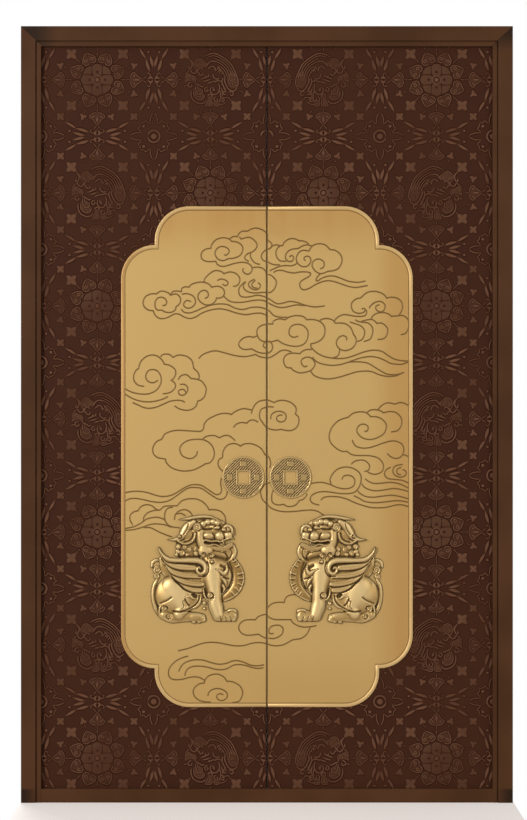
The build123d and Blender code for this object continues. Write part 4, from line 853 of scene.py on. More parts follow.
def phoenix():
    # drawn as on the left leaf: head at the left, tail plumes over the top to the right, wing below
    def tint(text):
        return fill(text, tone=0.75, rise=brocade["tintRise"])

    plume = "-18 73, 11 82, 38.7 70, 62 51, 73 33, 84 5"
    strokes = line("-20 66, " + plume + ", 85.7 -15.5, 77.4 -28", 2.3)
    middle = complex(2, 2)
    for k in range(1, 6):
        points = middle + (trace(plume)[k // 2:] - middle) * (1 - 0.09 * k)
        strokes += [(points, 1.7, brocade["lineRise"], "line")]
    strokes += line("-15 38, -4 54, 6 58, 18 55") + line("-8 32, 4 42, 14 38, 15 26") + line("20 42, 28 36, 30 24")
    for k in range(4):
        barb = (16 + 5 * k, 26 - 4 * k, 20 + 5 * k, 32 - 4 * k, 26 + 5 * k, 40 - 5 * k)
        strokes += line("%g %g, %g %g, %g %g" % barb, 1.5)
    # the plume's eye, with the scales round it
    strokes += tint("52 28, 66 31, 78 18, 84 0, 84 -15, 76 -27, 64 -28, 54 -14, 50 6")
    strokes += line("60 20, 68 24, 76 14, 76 0, 68 -6, 60 2, 60 14, 66 18, 71 10, 67 4", 1.7)
    for x, z in ((60, -10), (68, -13), (77, -9), (63, -20), (72, -22), (80, -18)):
        strokes += dot(x, z, 3.2)
    strokes += line("48 12, 44 -2, 50 -18, 60 -32, 74 -34, 84 -24") + line("40 8, 36 -6, 42 -22, 50 -30")
    # head, crest and back
    strokes += tint("-79 13.5, -80 -8.6, -68 -5, -58 -3, -47 -5.8, -44 10.8, -58 16, -68 22")
    strokes += line("-79 12, -74 20, -66 28, -60 31", 1.7) + dot(-60, 7, 3.2)
    strokes += line("-45 8, -44 0, -48 -6, -42 -12", 1.7) + line("-78 2, -70 5, -64 -2, -56 -1", 1.4)
    strokes += tint("-52 50, -44 62, -32 66, -22 60, -12 52, -14 40, -26 38, -36 34, -46 40")
    strokes += line("-50 52, -44 62, -34 66, -24 62, -20 52", 1.8) + line("-44 50, -36 56, -30 50, -34 44", 1.5)
    strokes += line("-24 54, -16 56, -11 50, -16 44", 1.5) + line("-56 60, -52 50, -50 40, -42 30", 1.5)
    strokes += line("-66 66, -58 56, -56 46, -62 34, -67 38, -64 46") + line("-62 32, -56 22, -48 20, -42 28, -44 36")
    strokes += arc(-28, 20, 6.5, 150, 380) + arc(-10, 15, 6, 170, 390) + line("-36 18, -40 28, -30 38, -22 30")
    strokes += leaf("-32 0, -18 6, -2 12", 3) + leaf("-26 -6, -12 -3, 4 3", 3) + leaf("-10 -12, 0 -8, 10 -6", 3)
    strokes += line("8 20, 10 8, 20 2, 30 6") + line("6 -4, 14 -6, 26 -2, 34 -8")
    # wing and the scrolls below
    strokes += curl(-61, -17, 10, 60, 1.1) + line("-70 -20, -76 -17, -82 -22", 1.9)
    strokes += tint("-52 -26, -52 -46, -46 -58, -32 -64, -20 -58, -18 -46, -26 -30, -38 -20")
    strokes += line("-59 -30, -60 -44, -56 -58, -47 -68, -30 -74, -16.6 -69, -13 -61", 2.4)
    strokes += line("-51 -30, -51 -46, -46 -56, -32 -62, -22 -58, -18 -50, -22 -45", 2.0)
    strokes += line("-45.6 -15.5, -45 -32, -39 -43, -33 -47, -26 -43, -25 -31, -28 -28", 2.0)
    strokes += line("-40 -15, -39 -28, -34 -37, -29 -36", 1.5) + line("-46 -12, -34 -16, -26 -22, -18 -18")
    strokes += line("-44 -50, -34 -53, -26 -50", 1.6) + line("3 -20, 0 -36, 11 -46, 22 -42, 29 -27, 25 -8.6", 2.3)
    strokes += dot(11, -31, 4.5) + line("6 -20, 8 -26, 14 -24", 1.6) + curl(-11, -31, 8.5, 60, 1.2)
    strokes += tint("-7 -52, 3 -50, 7 -58, 5 -70, 4 -80, -14 -80, -9 -70, -9 -60")
    strokes += line("-9 -52, -2 -44, 5 -48, 8 -56") + line("-8 -60, -10 -70, -15 -80, 4 -80, 5 -70, 6 -60", 1.7)
    strokes += dot(-1, -58, 3)
    strokes += curl(19, -61, 9, 90, 1.1) + tint("12 -70, 22 -68, 30 -72, 24 -81, 14 -82")
    strokes += line("12 -66, 11 -76, 16 -82, 26 -80, 32 -72", 1.7)
    strokes += line("28 -30, 32 -48, 30 -64, 22 -72", 2.0) + line("34 -24, 38 -40, 36 -52")
    strokes += line("40 -20, 46 -34, 42 -40")
    strokes += curl(65, -44.5, 9, 150, -1.0) + curl(45, -42, 8, 30, 1.0) + curl(38, -62, 7, 200, 1.1)
    strokes += line("32 -52, 44 -56, 56 -54, 60 -62", 1.7) + line("26 -78, 38 -76, 48 -70, 52 -66", 1.7)
    return otherHand(strokes)


def garland():
    # what surrounds each medallion inside its ring, one quarter turned four times
    shield = "101 0, 103 10, 107 19, 115 23.5, 122 14, 131 8, 141 0"
    bud = fill("99 0, 101 13, 107 21, 115 26, 124 15, 132 9, 142 0", True, 0.55, brocade["tintRise"])
    bud += bothHands(line(shield, 1.7) + curl(112, 13, 5, 90, -0.9)) + leaf("134 0, 124 0, 112 0", 4.2)
    bud += line("88 0, 94 0, 101 0", 1.5)
    sprig = lobed(0, 9.5, 4.0, 3, 12) + dot(0, 0, 4)
    sprigs = bothHands(moved(turned(sprig, 141), complex(114, 44)) + line("127 52, 120 47, 116 45", 1.3)
                       + line("106 40, 98 38, 94 32", 1.3))
    diagonal = lobed(113, 16.5, 5.5, 4, 16) + moved(around(leaf("2 0, 9 0, 18 0", 2.6), 4), 113)
    diagonal += lobed(161, 12, 4, 4, 16) + dot(161, 0, 4.5) + line("84 0, 90 0, 97 0", 1.5)
    ring = []
    for low, high, radius, width in ((8.7, 23.6, 164.5, 5.2), (23.2, 37.5, 164.5, 4.8)):
        turns = np.radians(np.linspace(low, high, 4))
        ring.append(((radius - 2.5 * np.sin(np.linspace(0, np.pi, 4))) * np.exp(1j * turns), width,
                     brocade["leafRise"], "leaf"))
    return around(bud + sprigs + bothHands(ring), 4) + around(diagonal, 4, 45)


def cornerStar():
    octant = line("73.5 0, 69 5.5, 57 10, 47 11.4, 38.5 9.5", 1.9)
    octant += line("38.5 9.5, 40 15.3, 46 21.2, 49 25.2, 43.5 29, 41.5 35, 41.7 41.7", 1.8)
    middle = arc(0, 0, 18.5, 0, 360, width=3.2) + dot(0, 0, 9.5)
    return around(bothHands(octant), 4) + around(dot(44.5, 0, 5.5), 4, 45) + middle


def butterfly():
    # where two rings touch: leaves along the rings and a bud to either side; the real axis is their tangent
    quarter = leaf("38 2.5, 56 6.5, 76 12", 5.2) + dot(86, 17, 4.5) + line("6 10, 14 10, 21 14, 20 20, 15 20", 1.7)
    quarter += line("13 20, 8 26, 1 35", 1.6) + leaf("1 3, 8 9, 2 19", 4.2)
    return bothHands(quarter + otherHand(quarter))


def brocadeStrokes():
    strokes = []
    medallions = (phoenix(), rosette())
    frameWork, star, fans = garland(), cornerStar(), butterfly()
    pitch = brocade["pitch"]
    for row in range(-1, brocade["rows"] + 1):
        for column in range(-1, brocade["columns"] + 1):
            place = complex((column + 0.5) * pitch, brocade["foot"] + row * pitch)
            strokes += moved(medallions[(row + max(column, -1 - column)) % 2] + frameWork, place)
            strokes += moved(turned(fans, 90), place + pitch / 2) + moved(fans, place + 0.5j * pitch)
            strokes += moved(star, place + pitch * (0.5 + 0.5j))
    return strokes


fieldEdges = (panelLow[0] + brocade["seamEdge"], panelHigh[0] - brocade["edge"],
              panelLow[2] + brocade["edge"], panelHigh[2] - brocade["edge"])


def insideField(points):
    left, right, low, high = fieldEdges
    within = (points.real > left) & (points.real < right) & (points.imag > low) & (points.imag < high)
    return within & (outlineInset(points.real, points.imag) < brocade["underPlate"])


def evenStroke(control):
    # the part of a stroke on the open field, at even steps that are shorter where it bends more; None if none is
    curve = spline(control, brocade["sample"])
    within = insideField(curve)
    if not within.all():
        runs = np.split(np.arange(len(curve)), np.flatnonzero(np.diff(within.astype(int))) + 1)
        runs = [run for run in runs if within[run[0]]]
        curve = curve[max(runs, key=len)] if runs else curve[:0]
    if len(curve) < 3:
        return None
    step = np.diff(curve)
    travel = np.concatenate([[0], np.cumsum(np.abs(step))])
    turning = np.abs(np.angle(step[1:] * step[:-1].conj())).sum()
    radius = travel[-1] / max(turning, 0.02)
    spacing = brocade["spacing"] * np.clip(np.sqrt(radius / brocade["bend"]), *brocade["spacingRange"])
    count = int(np.clip(round(travel[-1] / spacing), 3, brocade["mostSteps"]))
    even = np.linspace(0, travel[-1], count + 1)
    return np.interp(even, travel, curve.real) + 1j * np.interp(even, travel, curve.imag)


def ridges():
    # Each stroke is a row of points with a six-cornered section carried along it: two corners on the crest, two
    # at its foot and two where the dark line of painted shade round it ends. Along it the width falls to a point at
    # the ends.
    points, faces, tones, total = [], [], [], 0
    groups, fills = {}, []
    for control, width, rise, kind in brocadeStrokes():
        if kind == "fill":
            fills.append((control, width, rise))
            continue
        curve = evenStroke(control) if len(control) > 1 else None
        if curve is not None:
            groups.setdefault(len(curve), []).append((curve, width, rise, kind))
    # the foot tone is painted shade, the crest tone a painted highlight
    sectionTones = [brocade[k + "Tone"] for k in ("ground", "foot", "crest", "crest", "foot", "ground")]
    for count, members in groups.items():
        middle = np.array([m[0] for m in members])
        width, rise = (np.array([m[k] for m in members])[:, None] for k in (1, 2))
        pointed = np.array([m[3] == "leaf" for m in members])[:, None]
        along = np.linspace(0, 1, count)[None]
        leafShape = np.maximum(np.sin(np.pi * along) ** 0.8 * (1.15 - 0.3 * along), 0.08)
        shape = np.where(pointed, leafShape, np.clip(6 * np.minimum(along, 1 - along) + 0.3, 0, 1))
        foot = brocade["footWide"] * width * shape
        crest = brocade["crestWide"] * width * shape
        outer = foot + brocade["halo"] * np.clip(shape * 2, 0.2, 1)
        lift = rise * np.sqrt(shape)
        offset = np.stack([-outer, -foot, -crest, crest, foot, outer], -1)
        flat = np.ones_like(shape)
        height = np.stack([flat * brocade["buried"], flat * brocade["footRise"], lift, lift,
                           flat * brocade["footRise"], flat * brocade["buried"]], -1)
        ahead = np.gradient(middle, axis=1)
        place = middle[..., None] + (1j * ahead / np.maximum(np.abs(ahead), 1e-9))[..., None] * offset
        grid = total + np.arange(place.size).reshape(place.shape)
        total += place.size
        points.append((place.ravel(), height.ravel()))
        tones.append(np.broadcast_to(sectionTones, place.shape).ravel())
        faces += [ringFaces(grid), np.concatenate([grid[:, 0], grid[:, -1, ::-1]])]
    # A fill is a low table: rings at these distances outside its outline, each with its tone or None for the fill's;
    # the outline's foot tone is painted shade
    levels = ((brocade["halo"], brocade["groundTone"]), (0.0, brocade["footTone"]), (brocade["shoulderIn"], None),
              (brocade["topIn"], None))
    for outline, tone, rise in fills:
        centre = outline.mean()
        if not insideField(outline).any() or not insideField(np.array([centre])).any():
            continue
        if ((np.roll(outline, -1) - outline) * (outline - centre).conj()).imag.sum() < 0:
            outline = outline[::-1]
        away = np.abs(outline - centre)
        rings = np.concatenate([centre + (outline - centre) * (1 + reach / away) for reach, _ in levels])
        lifts = (brocade["buried"], brocade["footRise"], rise * brocade["shoulderRise"], rise)
        size = len(outline)
        points.append((rings, np.repeat(lifts, size)))
        tones.append(np.repeat([tone if t is None else t for _, t in levels], size))
        grid = total + np.arange(len(rings)).reshape(len(levels), size)
        total += len(rings)
        faces += [ringFaces(grid)[:, turnedOver], grid[-1][None], grid[0][::-1][None]]
    place = np.concatenate([p for p, _ in points])
    height = np.concatenate([h for _, h in points])
    left, right, low, high = fieldEdges
    x, z = np.clip(place.real, left, right), np.clip(place.imag, low, high)
    return np.stack([x, brocade["face"] - height, z], 1), faces, np.concatenate(tones)


def groundPlate(first):
    # the plate under the relief: rectangles of four corners from the back round the softened front edge
    soft = brocade["edgeRound"]
    levels = ((0, panelHigh[1]), (0, brocade["face"] + soft), (soft * 0.3, brocade["face"] + soft * 0.3),
              (soft, brocade["face"]))
    points = [(x, y, z) for inset, y in levels for x, z in (
        (panelLow[0] + inset, panelLow[2] + inset), (panelHigh[0] - inset, panelLow[2] + inset),
        (panelHigh[0] - inset, panelHigh[2] - inset), (panelLow[0] + inset, panelHigh[2] - inset))]
    grid = first + np.arange(len(points)).reshape(len(levels), 4)
    return np.array(points), [ringFaces(grid)[:, turnedOver], grid[-1][None], grid[0][::-1][None]]


reliefPoints, reliefFaces, reliefTones = ridges()
groundPoints, groundFaces = groundPlate(len(reliefPoints))
for side, sign in sides.items():
    allPoints = np.concatenate([reliefPoints, groundPoints]) * (sign, 1, 1)
    allFaces = [f[:, ::sign] for f in reliefFaces + groundFaces]
    smooth = np.concatenate([np.full(len(f), i < len(reliefFaces)) for i, f in enumerate(allFaces)])
    tone = np.concatenate([reliefTones, np.full(len(groundPoints), brocade["groundTone"])])
    makePiece(side + "_brocade_plate", allPoints, allFaces, finishes["cast"], side + "_leaf",
              [side + "_field_panel"], smooth, {"tone": tone})
print("brocade done")


# Coins: a round coin with a square hole, hatched all over, with four blank bosses

coinLow, coinHigh = cadEdges("right_coin")
coin = {
    "across": (coinLow[0] + coinHigh[0]) / 2, "height": (coinLow[2] + coinHigh[2]) / 2,
    "radius": (coinHigh[0] - coinLow[0]) / 2, "back": coinHigh[1], "thick": coinHigh[1] - coinLow[1],
    "hole": 36.0, "border": 4.3, "rim": 4.5, "sink": 2.0, "hatchPitch": 6.0, "hatchRise": 1.2,
    "bossAt": 42.0, "bossHalf": (10.0, 8.0), "bossRise": 1.5, "turns": 240, "steps": 56,
    # how far each rise takes, and where the dark foot of painted shade round a boss and the border fades away
    "ease": 1.2, "bossEase": (-1.2, 0.6), "footIn": (-0.2, 0.8), "footOut": 3.0, "edgeEase": 1.5, "edgeDrop": 1.0,
}


def softStep(value, low, high):
    t = np.clip((value - low) / (high - low), 0, 1)
    return t * t * (3 - 2 * t)


def coinHeight(x, z):
    # rim, square border and bosses stand at full height over a sunk field with slanting ridges
    radius = np.hypot(x, z)
    square = np.maximum(np.abs(x), np.abs(z)) - coin["hole"] / 2
    ease, footOut = coin["ease"], coin["footOut"]
    rim = softStep(radius, coin["radius"] - coin["rim"] - ease, coin["radius"] - coin["rim"])
    border = 1 - softStep(square, coin["border"], coin["border"] + ease)
    hatch = np.abs(np.sin(np.pi * (x - z) / np.sqrt(2) / coin["hatchPitch"])) * coin["hatchRise"]
    boss, foot = np.zeros_like(x), np.zeros_like(x)
    for c, s in ((1, 0), (0, 1), (-1, 0), (0, -1)):
        u, v = x * c + z * s - coin["bossAt"], -x * s + z * c
        away = np.maximum(np.abs(u) - coin["bossHalf"][1], np.abs(v) - coin["bossHalf"][0])
        boss = np.maximum(boss, 1 - softStep(away, *coin["bossEase"]))
        foot = np.maximum(foot, softStep(away, *coin["footIn"]) * (1 - softStep(away, ease, footOut)))
    raised = np.maximum(rim, border)
    field = -coin["sink"] + hatch * (1 - raised) * (1 - boss) + boss * coin["bossRise"]
    height = np.where(raised > 0, field * (1 - raised), field)
    edge = softStep(coin["radius"] - radius, 0, coin["edgeEase"]) * softStep(square, 0, ease)
    foot = np.maximum(foot, softStep(square, coin["border"], coin["border"] + coin["footIn"][1])
                      * (1 - softStep(square, coin["border"] + ease, coin["border"] + footOut)))
    return height - coin["edgeDrop"] * (1 - edge), raised, boss, hatch, foot


def makeCoin(side):
    # a grid that runs from the square hole to the round edge: point = square + share * (circle - square)
    sign = sides[side]
    turn = 2 * np.pi * (np.arange(coin["turns"]) + 0.5) / coin["turns"]
    circle = coin["radius"] * np.exp(1j * turn)
    half = coin["hole"] / 2
    square = np.exp(1j * turn) * half / np.maximum(np.abs(np.cos(turn)), np.abs(np.sin(turn)))
    share = np.linspace(0, 1, coin["steps"])[:, None]
    spots = square + share * (circle - square)
    height, raised, boss, hatch, foot = coinHeight(sign * spots.real, spots.imag)
    grid = np.arange(spots.size).reshape(spots.shape)
    follow = np.roll(grid, -1, axis=1)
    first = spots.size
    backRings = np.stack([square, circle])
    back = first + np.arange(backRings.size).reshape(backRings.shape)
    backFollow = np.roll(back, -1, axis=1)
    faces = [ringFaces(grid), np.stack([grid[-1], back[1], backFollow[1], follow[-1]], -1),
             np.stack([back[0], grid[0], follow[0], backFollow[0]], -1),
             np.stack([back[1], back[0], backFollow[0], backFollow[1]], -1)]
    x = np.concatenate([spots.ravel(), backRings.ravel()])
    y = np.concatenate([coin["back"] - coin["thick"] - height.ravel(), np.full(backRings.size, coin["back"])])
    points = np.stack([sign * (coin["across"] + x.real), y, coin["height"] + x.imag], 1)
    # painted light: hollow is patina and painted shade in the grooves and round the bosses, shade is painted shade,
    # crest a painted highlight
    ridge = (hatch / coin["hatchRise"]) ** 2
    field = np.clip(1 - raised - boss, 0, 1)
    low = field * np.maximum(1 - ridge, foot * 0.85)
    crest = np.clip(raised * 0.35 + boss * 0.3 + field * ridge * 0.4, 0, 1)
    shade = (1 - raised * 0.7) * (1 - 0.7 * field * ridge)
    pad = np.zeros(backRings.size)
    makePiece(side + "_hatched_coin", points, [f[:, ::sign] for f in faces], finishes["antique"], side + "_leaf",
              [side + "_coin"], None,
              {"hollow": np.concatenate([low.ravel(), pad + 0.6]),
               "crest": np.concatenate([crest.ravel(), pad]),
               "shade": np.concatenate([shade.ravel(), pad])})


for side in sides:
    makeCoin(side)

print("coins done")


# Guardian beasts: seated, winged and maned, facing the seam. All shapes are drawn for the right one.

beastLow, beastHigh = cadEdges("right_beast")
beast = {
    "face": beastHigh[1], "top": 19.8, "cell": 1.4, "margin": 6.0, "embed": 0.3, "blank": 3.0, "lowest": 0.8,
    "soft": 3.5, "blurMm": 4.5, "broadMm": 11.0,
    # painted shading: depth under the blurred height that is a hollow, rise over it that is a crest, and likewise
    # for the broad painted shade; then the heights between which the painted shade ends and the painted highlight on
    # crests begins
    "hollowMm": 1.2, "hollowShare": 0.85, "crestMm": 1.1, "crestFrom": 0.2, "crestShare": 0.7, "outlineMm": 2.2,
    "shadeMm": 3.5, "shadeBelow": (5.0, 10.5), "crestAbove": (12.0, 19.8), "aboveShare": 0.85,
}


class Relief:
    # the carving while it is built up: height over the plate, and how far inside the silhouette each point is
    def __init__(self, x, z):
        self.x, self.z = x, z
        self.height = np.zeros_like(x)
        self.inside = np.full_like(x, -50.0)
        self.soft = 0.0

    def put(self, inside, height, over):
        # A form is added where it is higher than what is there, or over it whatever is there. With soft, two
        # forms of like height melt together: rise = (soft - difference) squared / (4 * soft)
        here = inside > 0
        if over:
            self.height = np.where(here, height, self.height)
        else:
            melt = np.where(self.inside > 0, np.clip(self.soft - np.abs(height - self.height), 0, None) ** 2, 0)
            melt = melt / (4 * self.soft) if self.soft else 0
            self.height = np.where(here, np.maximum(height, self.height) + melt, self.height)
        self.inside = np.maximum(self.inside, inside)

    def ball(self, x, z, halfX, halfZ, base, rise, over=False):
        # height = base + rise * square root of (1 - r * r), r being 1 on the oval's edge
        r = np.hypot((self.x - x) / halfX, (self.z - z) / halfZ)
        self.put((1 - r) * min(halfX, halfZ), base + rise * np.sqrt(np.clip(1 - r * r, 0, 1)), over)

    def around(self, path, far):
        return ((self.x > path.real.min() - far) & (self.x < path.real.max() + far)
                & (self.z > path.imag.min() - far) & (self.z < path.imag.max() + far))

    def limb(self, text, radii, base, rise, over=False):
        # a round-backed band along a spline, height = base + rise * square root of (1 - (d / r) squared)
        path = spline(trace(text), 6)
        radii = radii if isinstance(radii, tuple) else (radii,)
        radius = np.interp(np.linspace(0, 1, len(path)), np.linspace(0, 1, len(radii)), radii)
        near = self.around(path, max(radii) + 3)
        q = self.x[near] + 1j * self.z[near]
        best, reach = np.full(q.shape, 1e9), np.ones(q.shape)
        for a, b, ra, rb in zip(path[:-1], path[1:], radius[:-1], radius[1:]):
            along = b - a
            t = np.clip(((q - a) * np.conj(along)).real / max(abs(along) ** 2, 1e-9), 0, 1)
            away, wide = np.abs(q - a - t * along), ra + t * (rb - ra)
            closer = away / wide < best / reach
            best, reach = np.where(closer, away, best), np.where(closer, wide, reach)
        inside, height = np.full(self.x.shape, -50.0), np.zeros(self.x.shape)
        inside[near] = reach - best
        height[near] = base + rise * np.sqrt(1 - np.clip(best / reach, 0, 1) ** 2)
        self.put(inside, height, over)

    def cut(self, text, width, depth):
        # a soft groove along a spline: height falls by depth * exp(-(d / width) squared)
        path = spline(trace(text) if isinstance(text, str) else text, 5)
        near = self.around(path, width * 3) & (self.inside > 0)
        away = nearest(self.x[near] + 1j * self.z[near], path[:-1], path[1:])
        self.height[near] -= depth * np.exp(-(away / width) ** 2)

    def spiral(self, x, z, radius, base, rise, start, turns):
        # a round boss over what is there, with a spiral groove that closes towards its middle
        self.ball(x, z, radius, radius, base, rise, over=True)
        t = np.linspace(0, 1, 14)
        curve = radius * (0.86 - 0.66 * t) * np.exp(1j * (np.radians(start) + 2 * np.pi * turns * t))
        self.cut(complex(x, z) + curve, radius * 0.15, 2.2 + radius * 0.07)


def carveBeast(x, z):
    r = Relief(x, z)
    # tail: a strip down the back, an arc over it and two scrolls
    r.limb("341 688, 348 672, 351 645, 348.5 618, 341 594, 328 574, 312 562", (5, 8, 8.5, 8, 7.5, 5, 3), 2.5, 4)
    r.limb("357 728, 353 743, 338 750, 325 743", (4, 6, 6, 4), 2, 3)
    r.cut("346 672, 347 645, 344 618, 336 596", 1.3, 1.6)
    r.spiral(339, 719, 14, 5, 6, 30, 1.5)
    r.spiral(341, 699, 10, 5, 5, 200, 1.2)
    # breastplate: a crescent with a raised edge and ribs
    r.limb("112 752, 96 731, 89 712, 87.5 694, 90 674, 99 657, 115 641, 136 629",
           (8, 14, 17.5, 18.5, 18, 17, 14.5, 9), 3, 4)
    r.limb("100 755, 84.5 735, 74 714, 71.5 693.4, 75.2 672.8, 84.4 655, 102.4 636.8, 130.5 622.4", 2.1, 6, 2.5)
    ribs = ("104 745, 95 750", "95 729, 85 735", "88 706, 76 710", "86 693, 74 693", "88 678, 77 672",
            "96 664, 88 654", "108 651, 100 641")
    for rib in ribs:
        r.limb(rib, 2.8, 6, 3)
        r.cut(trace(rib) - 5j, 1.3, 1.6)
    # trunk, haunch and belly
    r.soft = beast["soft"]
    r.ball(225, 690, 80, 62, 4, 8)
    r.ball(160, 735, 44, 52, 5, 9)
    r.ball(240, 792, 42, 52, 3, 6)
    r.ball(136, 704, 29, 50, 5, 8)
    r.ball(280, 642, 66, 64, 5, 12.5)
    r.limb("292 668, 274 636, 262 604, 272 582", (34, 32, 26, 20), 7, 11)
    r.ball(232, 628, 30, 30, 6, 5)
    r.cut("330 616, 309 625, 296 634", 3, 2.5)
    r.cut("266 591, 243 598.6, 221.5 611, 211 625, 209 640", 1.8, 5)
    r.soft = 0
    # hind foot
    r.limb("318 580, 295 572, 262 574, 225 574, 203 571", (16, 18, 17, 16, 15), 4, 9)
    r.cut("290 592, 270 590, 250 592, 232 590", 2.2, 4)
    r.ball(222, 573, 25, 12, 10, 4)
    r.cut("232 588, 207 589, 196 577", 1.3, 2)
    for tx, tz in ((196, 565), (210, 561), (226, 560)):
        r.ball(tx, tz, 8.5, 7.5, 6, 5.5)
    r.limb("331.7 573.7, 333 590, 330 606, 318 612", (2, 3.5, 4, 2), 6, 5)
    r.spiral(315.7, 598.6, 11, 9, 5, 60, 1.3)
    r.spiral(304, 575.5, 9.5, 9, 5, 240, 1.2)
    # flames in the hollow of the thigh
    r.ball(226, 638, 11, 9, 3, 2, over=True)
    r.limb("252 634, 239 639.4, 228.6 632, 220 630.5", (2, 5, 4, 1.5), 13, 4, over=True)
    r.limb("257 620, 253 605, 266 593", (4.5, 4.5, 1.5), 12, 4, over=True)
    r.cut("253.5 629, 247 616, 239 609", 2, 5)
    # foreleg and paw
    r.soft = beast["soft"]
    r.limb("168 720, 165 680, 161 640, 160 615, 155 595, 150 580", (30, 29, 23, 21, 23, 20), 7, 11)
    r.soft = 0
    r.limb("152 577, 128 577, 106 578", (18, 17.5, 16), 6, 8)
    r.ball(108, 590, 17, 11, 8, 5)
    r.ball(122, 573, 26, 10, 11, 4)
    r.cut("120 589, 104 592, 93 583, 93 572", 1.3, 2.2)
    for tx in (103, 117, 132):
        r.ball(tx, 566, 7.8, 7, 7, 6)
    for tx in (110, 125, 141):
        r.cut("%g 559, %g 567, %g 575" % (tx, tx + 1, tx + 4), 1.3, 2.4)
    r.limb("197 664, 194.5 645, 187 630, 175 626, 165 632", (2, 3, 3, 3, 2), 12, 4, over=True)
    r.cut("192 662, 189 646, 184 634", 1.3, 3)
    r.spiral(174.5, 640, 11, 10, 7, 120, 1.3)
    r.spiral(194, 617, 6.5, 8, 5, 0, 1.0)
    r.spiral(194, 600, 5.5, 7, 5, 90, 1.0)
    # flames on the chest
    r.limb("157 721, 144 716, 132 708, 124 720, 125.5 738", (2.5, 5, 6.5, 5, 1.2), 13, 4.5, over=True)
    r.limb("139 697, 129 683, 125 668", (5, 5, 1.2), 12, 4.5, over=True)
    r.limb("136 672, 131 660, 137 650", (4, 4.5, 1.2), 12, 4.5, over=True)
    r.cut("142 733, 133 727, 130 722", 4, 3)
    r.cut("137 697, 125 694, 116 691", 2, 3)
    r.cut("125 655, 115 672, 109 690, 108 705, 113 722, 122 742", 2.0, 4)
    # wing: four feathers, the lowest first, then the leading edge that curls into its scroll
    feathers = (
        ("293 696, 268 673, 253.5 659, 232 650, 211 647.4, 198 649", "299 704, 270 682, 253 667, 232 658, 205 656"),
        ("307 718, 287 691, 268 678, 243 670, 214 666, 197 668", "310 726, 288 701, 266 687, 243 679, 200 675"),
        ("316 734, 300 710.6, 282 700, 257 694, 232 692, 204 692", "318 742, 301 720, 281 709, 257 703, 205 700"),
        ("326 755, 314 739, 296 726.6, 275 720, 250 717, 225 716", "326 762, 313 748, 295 735, 274 729, 225 725"),
    )
    r.limb("322 752, 298 722, 262 702, 215 694, 196 676", (12, 30, 34, 30, 22), 6, 3.5)
    for step, (edge, middle) in enumerate(feathers):
        r.limb(middle, (3, 9, 10, 10, 8.5), 8.5 + step * 0.8, 4.5, over=True)
        r.cut(middle, 1.0, 0.9)
        r.cut(edge, 1.5, 4.5)
    r.limb("335 790, 327 771, 313 757, 296 750.5, 267 749, 236 749.5, 212 748, 198 741, 191 729, 192 715, 201 708,"
           "210 709.5, 216 717, 215 725, 209 727.5, 205 722",
           (1.5, 5, 7, 7.5, 7.5, 7.5, 8, 8.5, 9, 9, 8, 6.5, 5.5, 5, 4, 3), 10.5, 8, over=True)
    r.cut("330 770, 314 747, 296 741, 267 739.5, 236 739.5, 218 738, 207 733, 203 722, 208 717", 1.5, 4)
    r.cut("184 744, 180 730, 182 712, 194 699, 212 700", 1.7, 3.5)
    # throat, beard and jowl
    r.soft = 2.5
    r.ball(175, 838, 58, 44, 7, 6)
    r.ball(190, 779, 24, 20, 10, 7)
    r.limb("206 842, 206 815, 197 790", (12, 12, 14), 9, 7)
    r.soft = 0
    r.cut("158 760, 142 756, 128 752", 8, 6)
    r.limb("104 795, 99 778, 103 762, 117 746", (5, 7, 7, 1.5), 5, 4)
    r.ball(118, 778, 20, 22, 5, 5)
    r.cut("113 786, 109 770, 115 756", 1.3, 2.5)
    r.cut("128 770, 122 760, 124 750", 2, 4)
    for index, (cx, cz, size) in enumerate(((219, 771, 8), (195, 765.5, 8.5), (172, 763, 10), (154.5, 782.8, 7.5),
                                            (139.8, 780, 7.5), (122.5, 782.8, 7.5))):
        r.spiral(cx, cz, size, 8.5, 5, 90 + 50 * index, 1.1)
    r.ball(169.5, 744, 7.5, 7.5, 8, 6, over=True)
    r.cut("181 771, 184 762, 181 753", 1.3, 3)
    r.limb("110 797, 130 785, 152 786, 175 790, 192 795", (7, 9, 9, 8, 8), 8, 6)
    # mouth: lips round a cavity, one fang
    r.limb("197 808, 190.5 812, 180 809.5, 168 807, 154.5 809.5, 144 805.5, 134.5 811, 122.5 815, 112 819, 106.5 816",
           2.8, 14, 3.5, over=True)
    r.limb("197 801.5, 189 795, 177 795, 165 799, 153 796, 144 791.6, 132 790, 124 796, 114.5 800, 106.5 801.5",
           2.8, 13, 3.5, over=True)
    r.cut("192 804, 180 803, 165 803, 149 801.5, 140 803", 2.4, 9)
    r.cut("127 805, 120 807, 108 811", 1.8, 6)
    r.ball(134.5, 803, 3.2, 5.5, 13, 4.5, over=True)
    # muzzle, nose and nostril
    for shape in ((180, 826, 18, 12, 11, 6), (145, 825, 17, 15, 11, 7.5), (119.5, 827, 14.5, 14, 11, 7.5),
                  (106, 835, 5, 9, 12, 4), (122, 846, 20, 13, 10, 6)):
        r.ball(*shape)
    r.cut("162 815, 163 824, 168 833", 1.6, 4)
    r.cut("132 815, 131.5 824, 136 834", 1.6, 4)
    r.cut("104 824, 112 838, 124 836, 138 838", 1.4, 3)
    r.limb("136 843, 131 852, 122 857.5, 112 852.5, 107 843, 108 835", (3.5, 4.5, 5, 5, 4.5, 3), 13, 6, over=True)
    r.ball(131.5, 843.5, 4.5, 4.5, 13, 4, over=True)
    r.cut("125 840, 124.5 846, 129 850, 135 849", 1.3, 4)
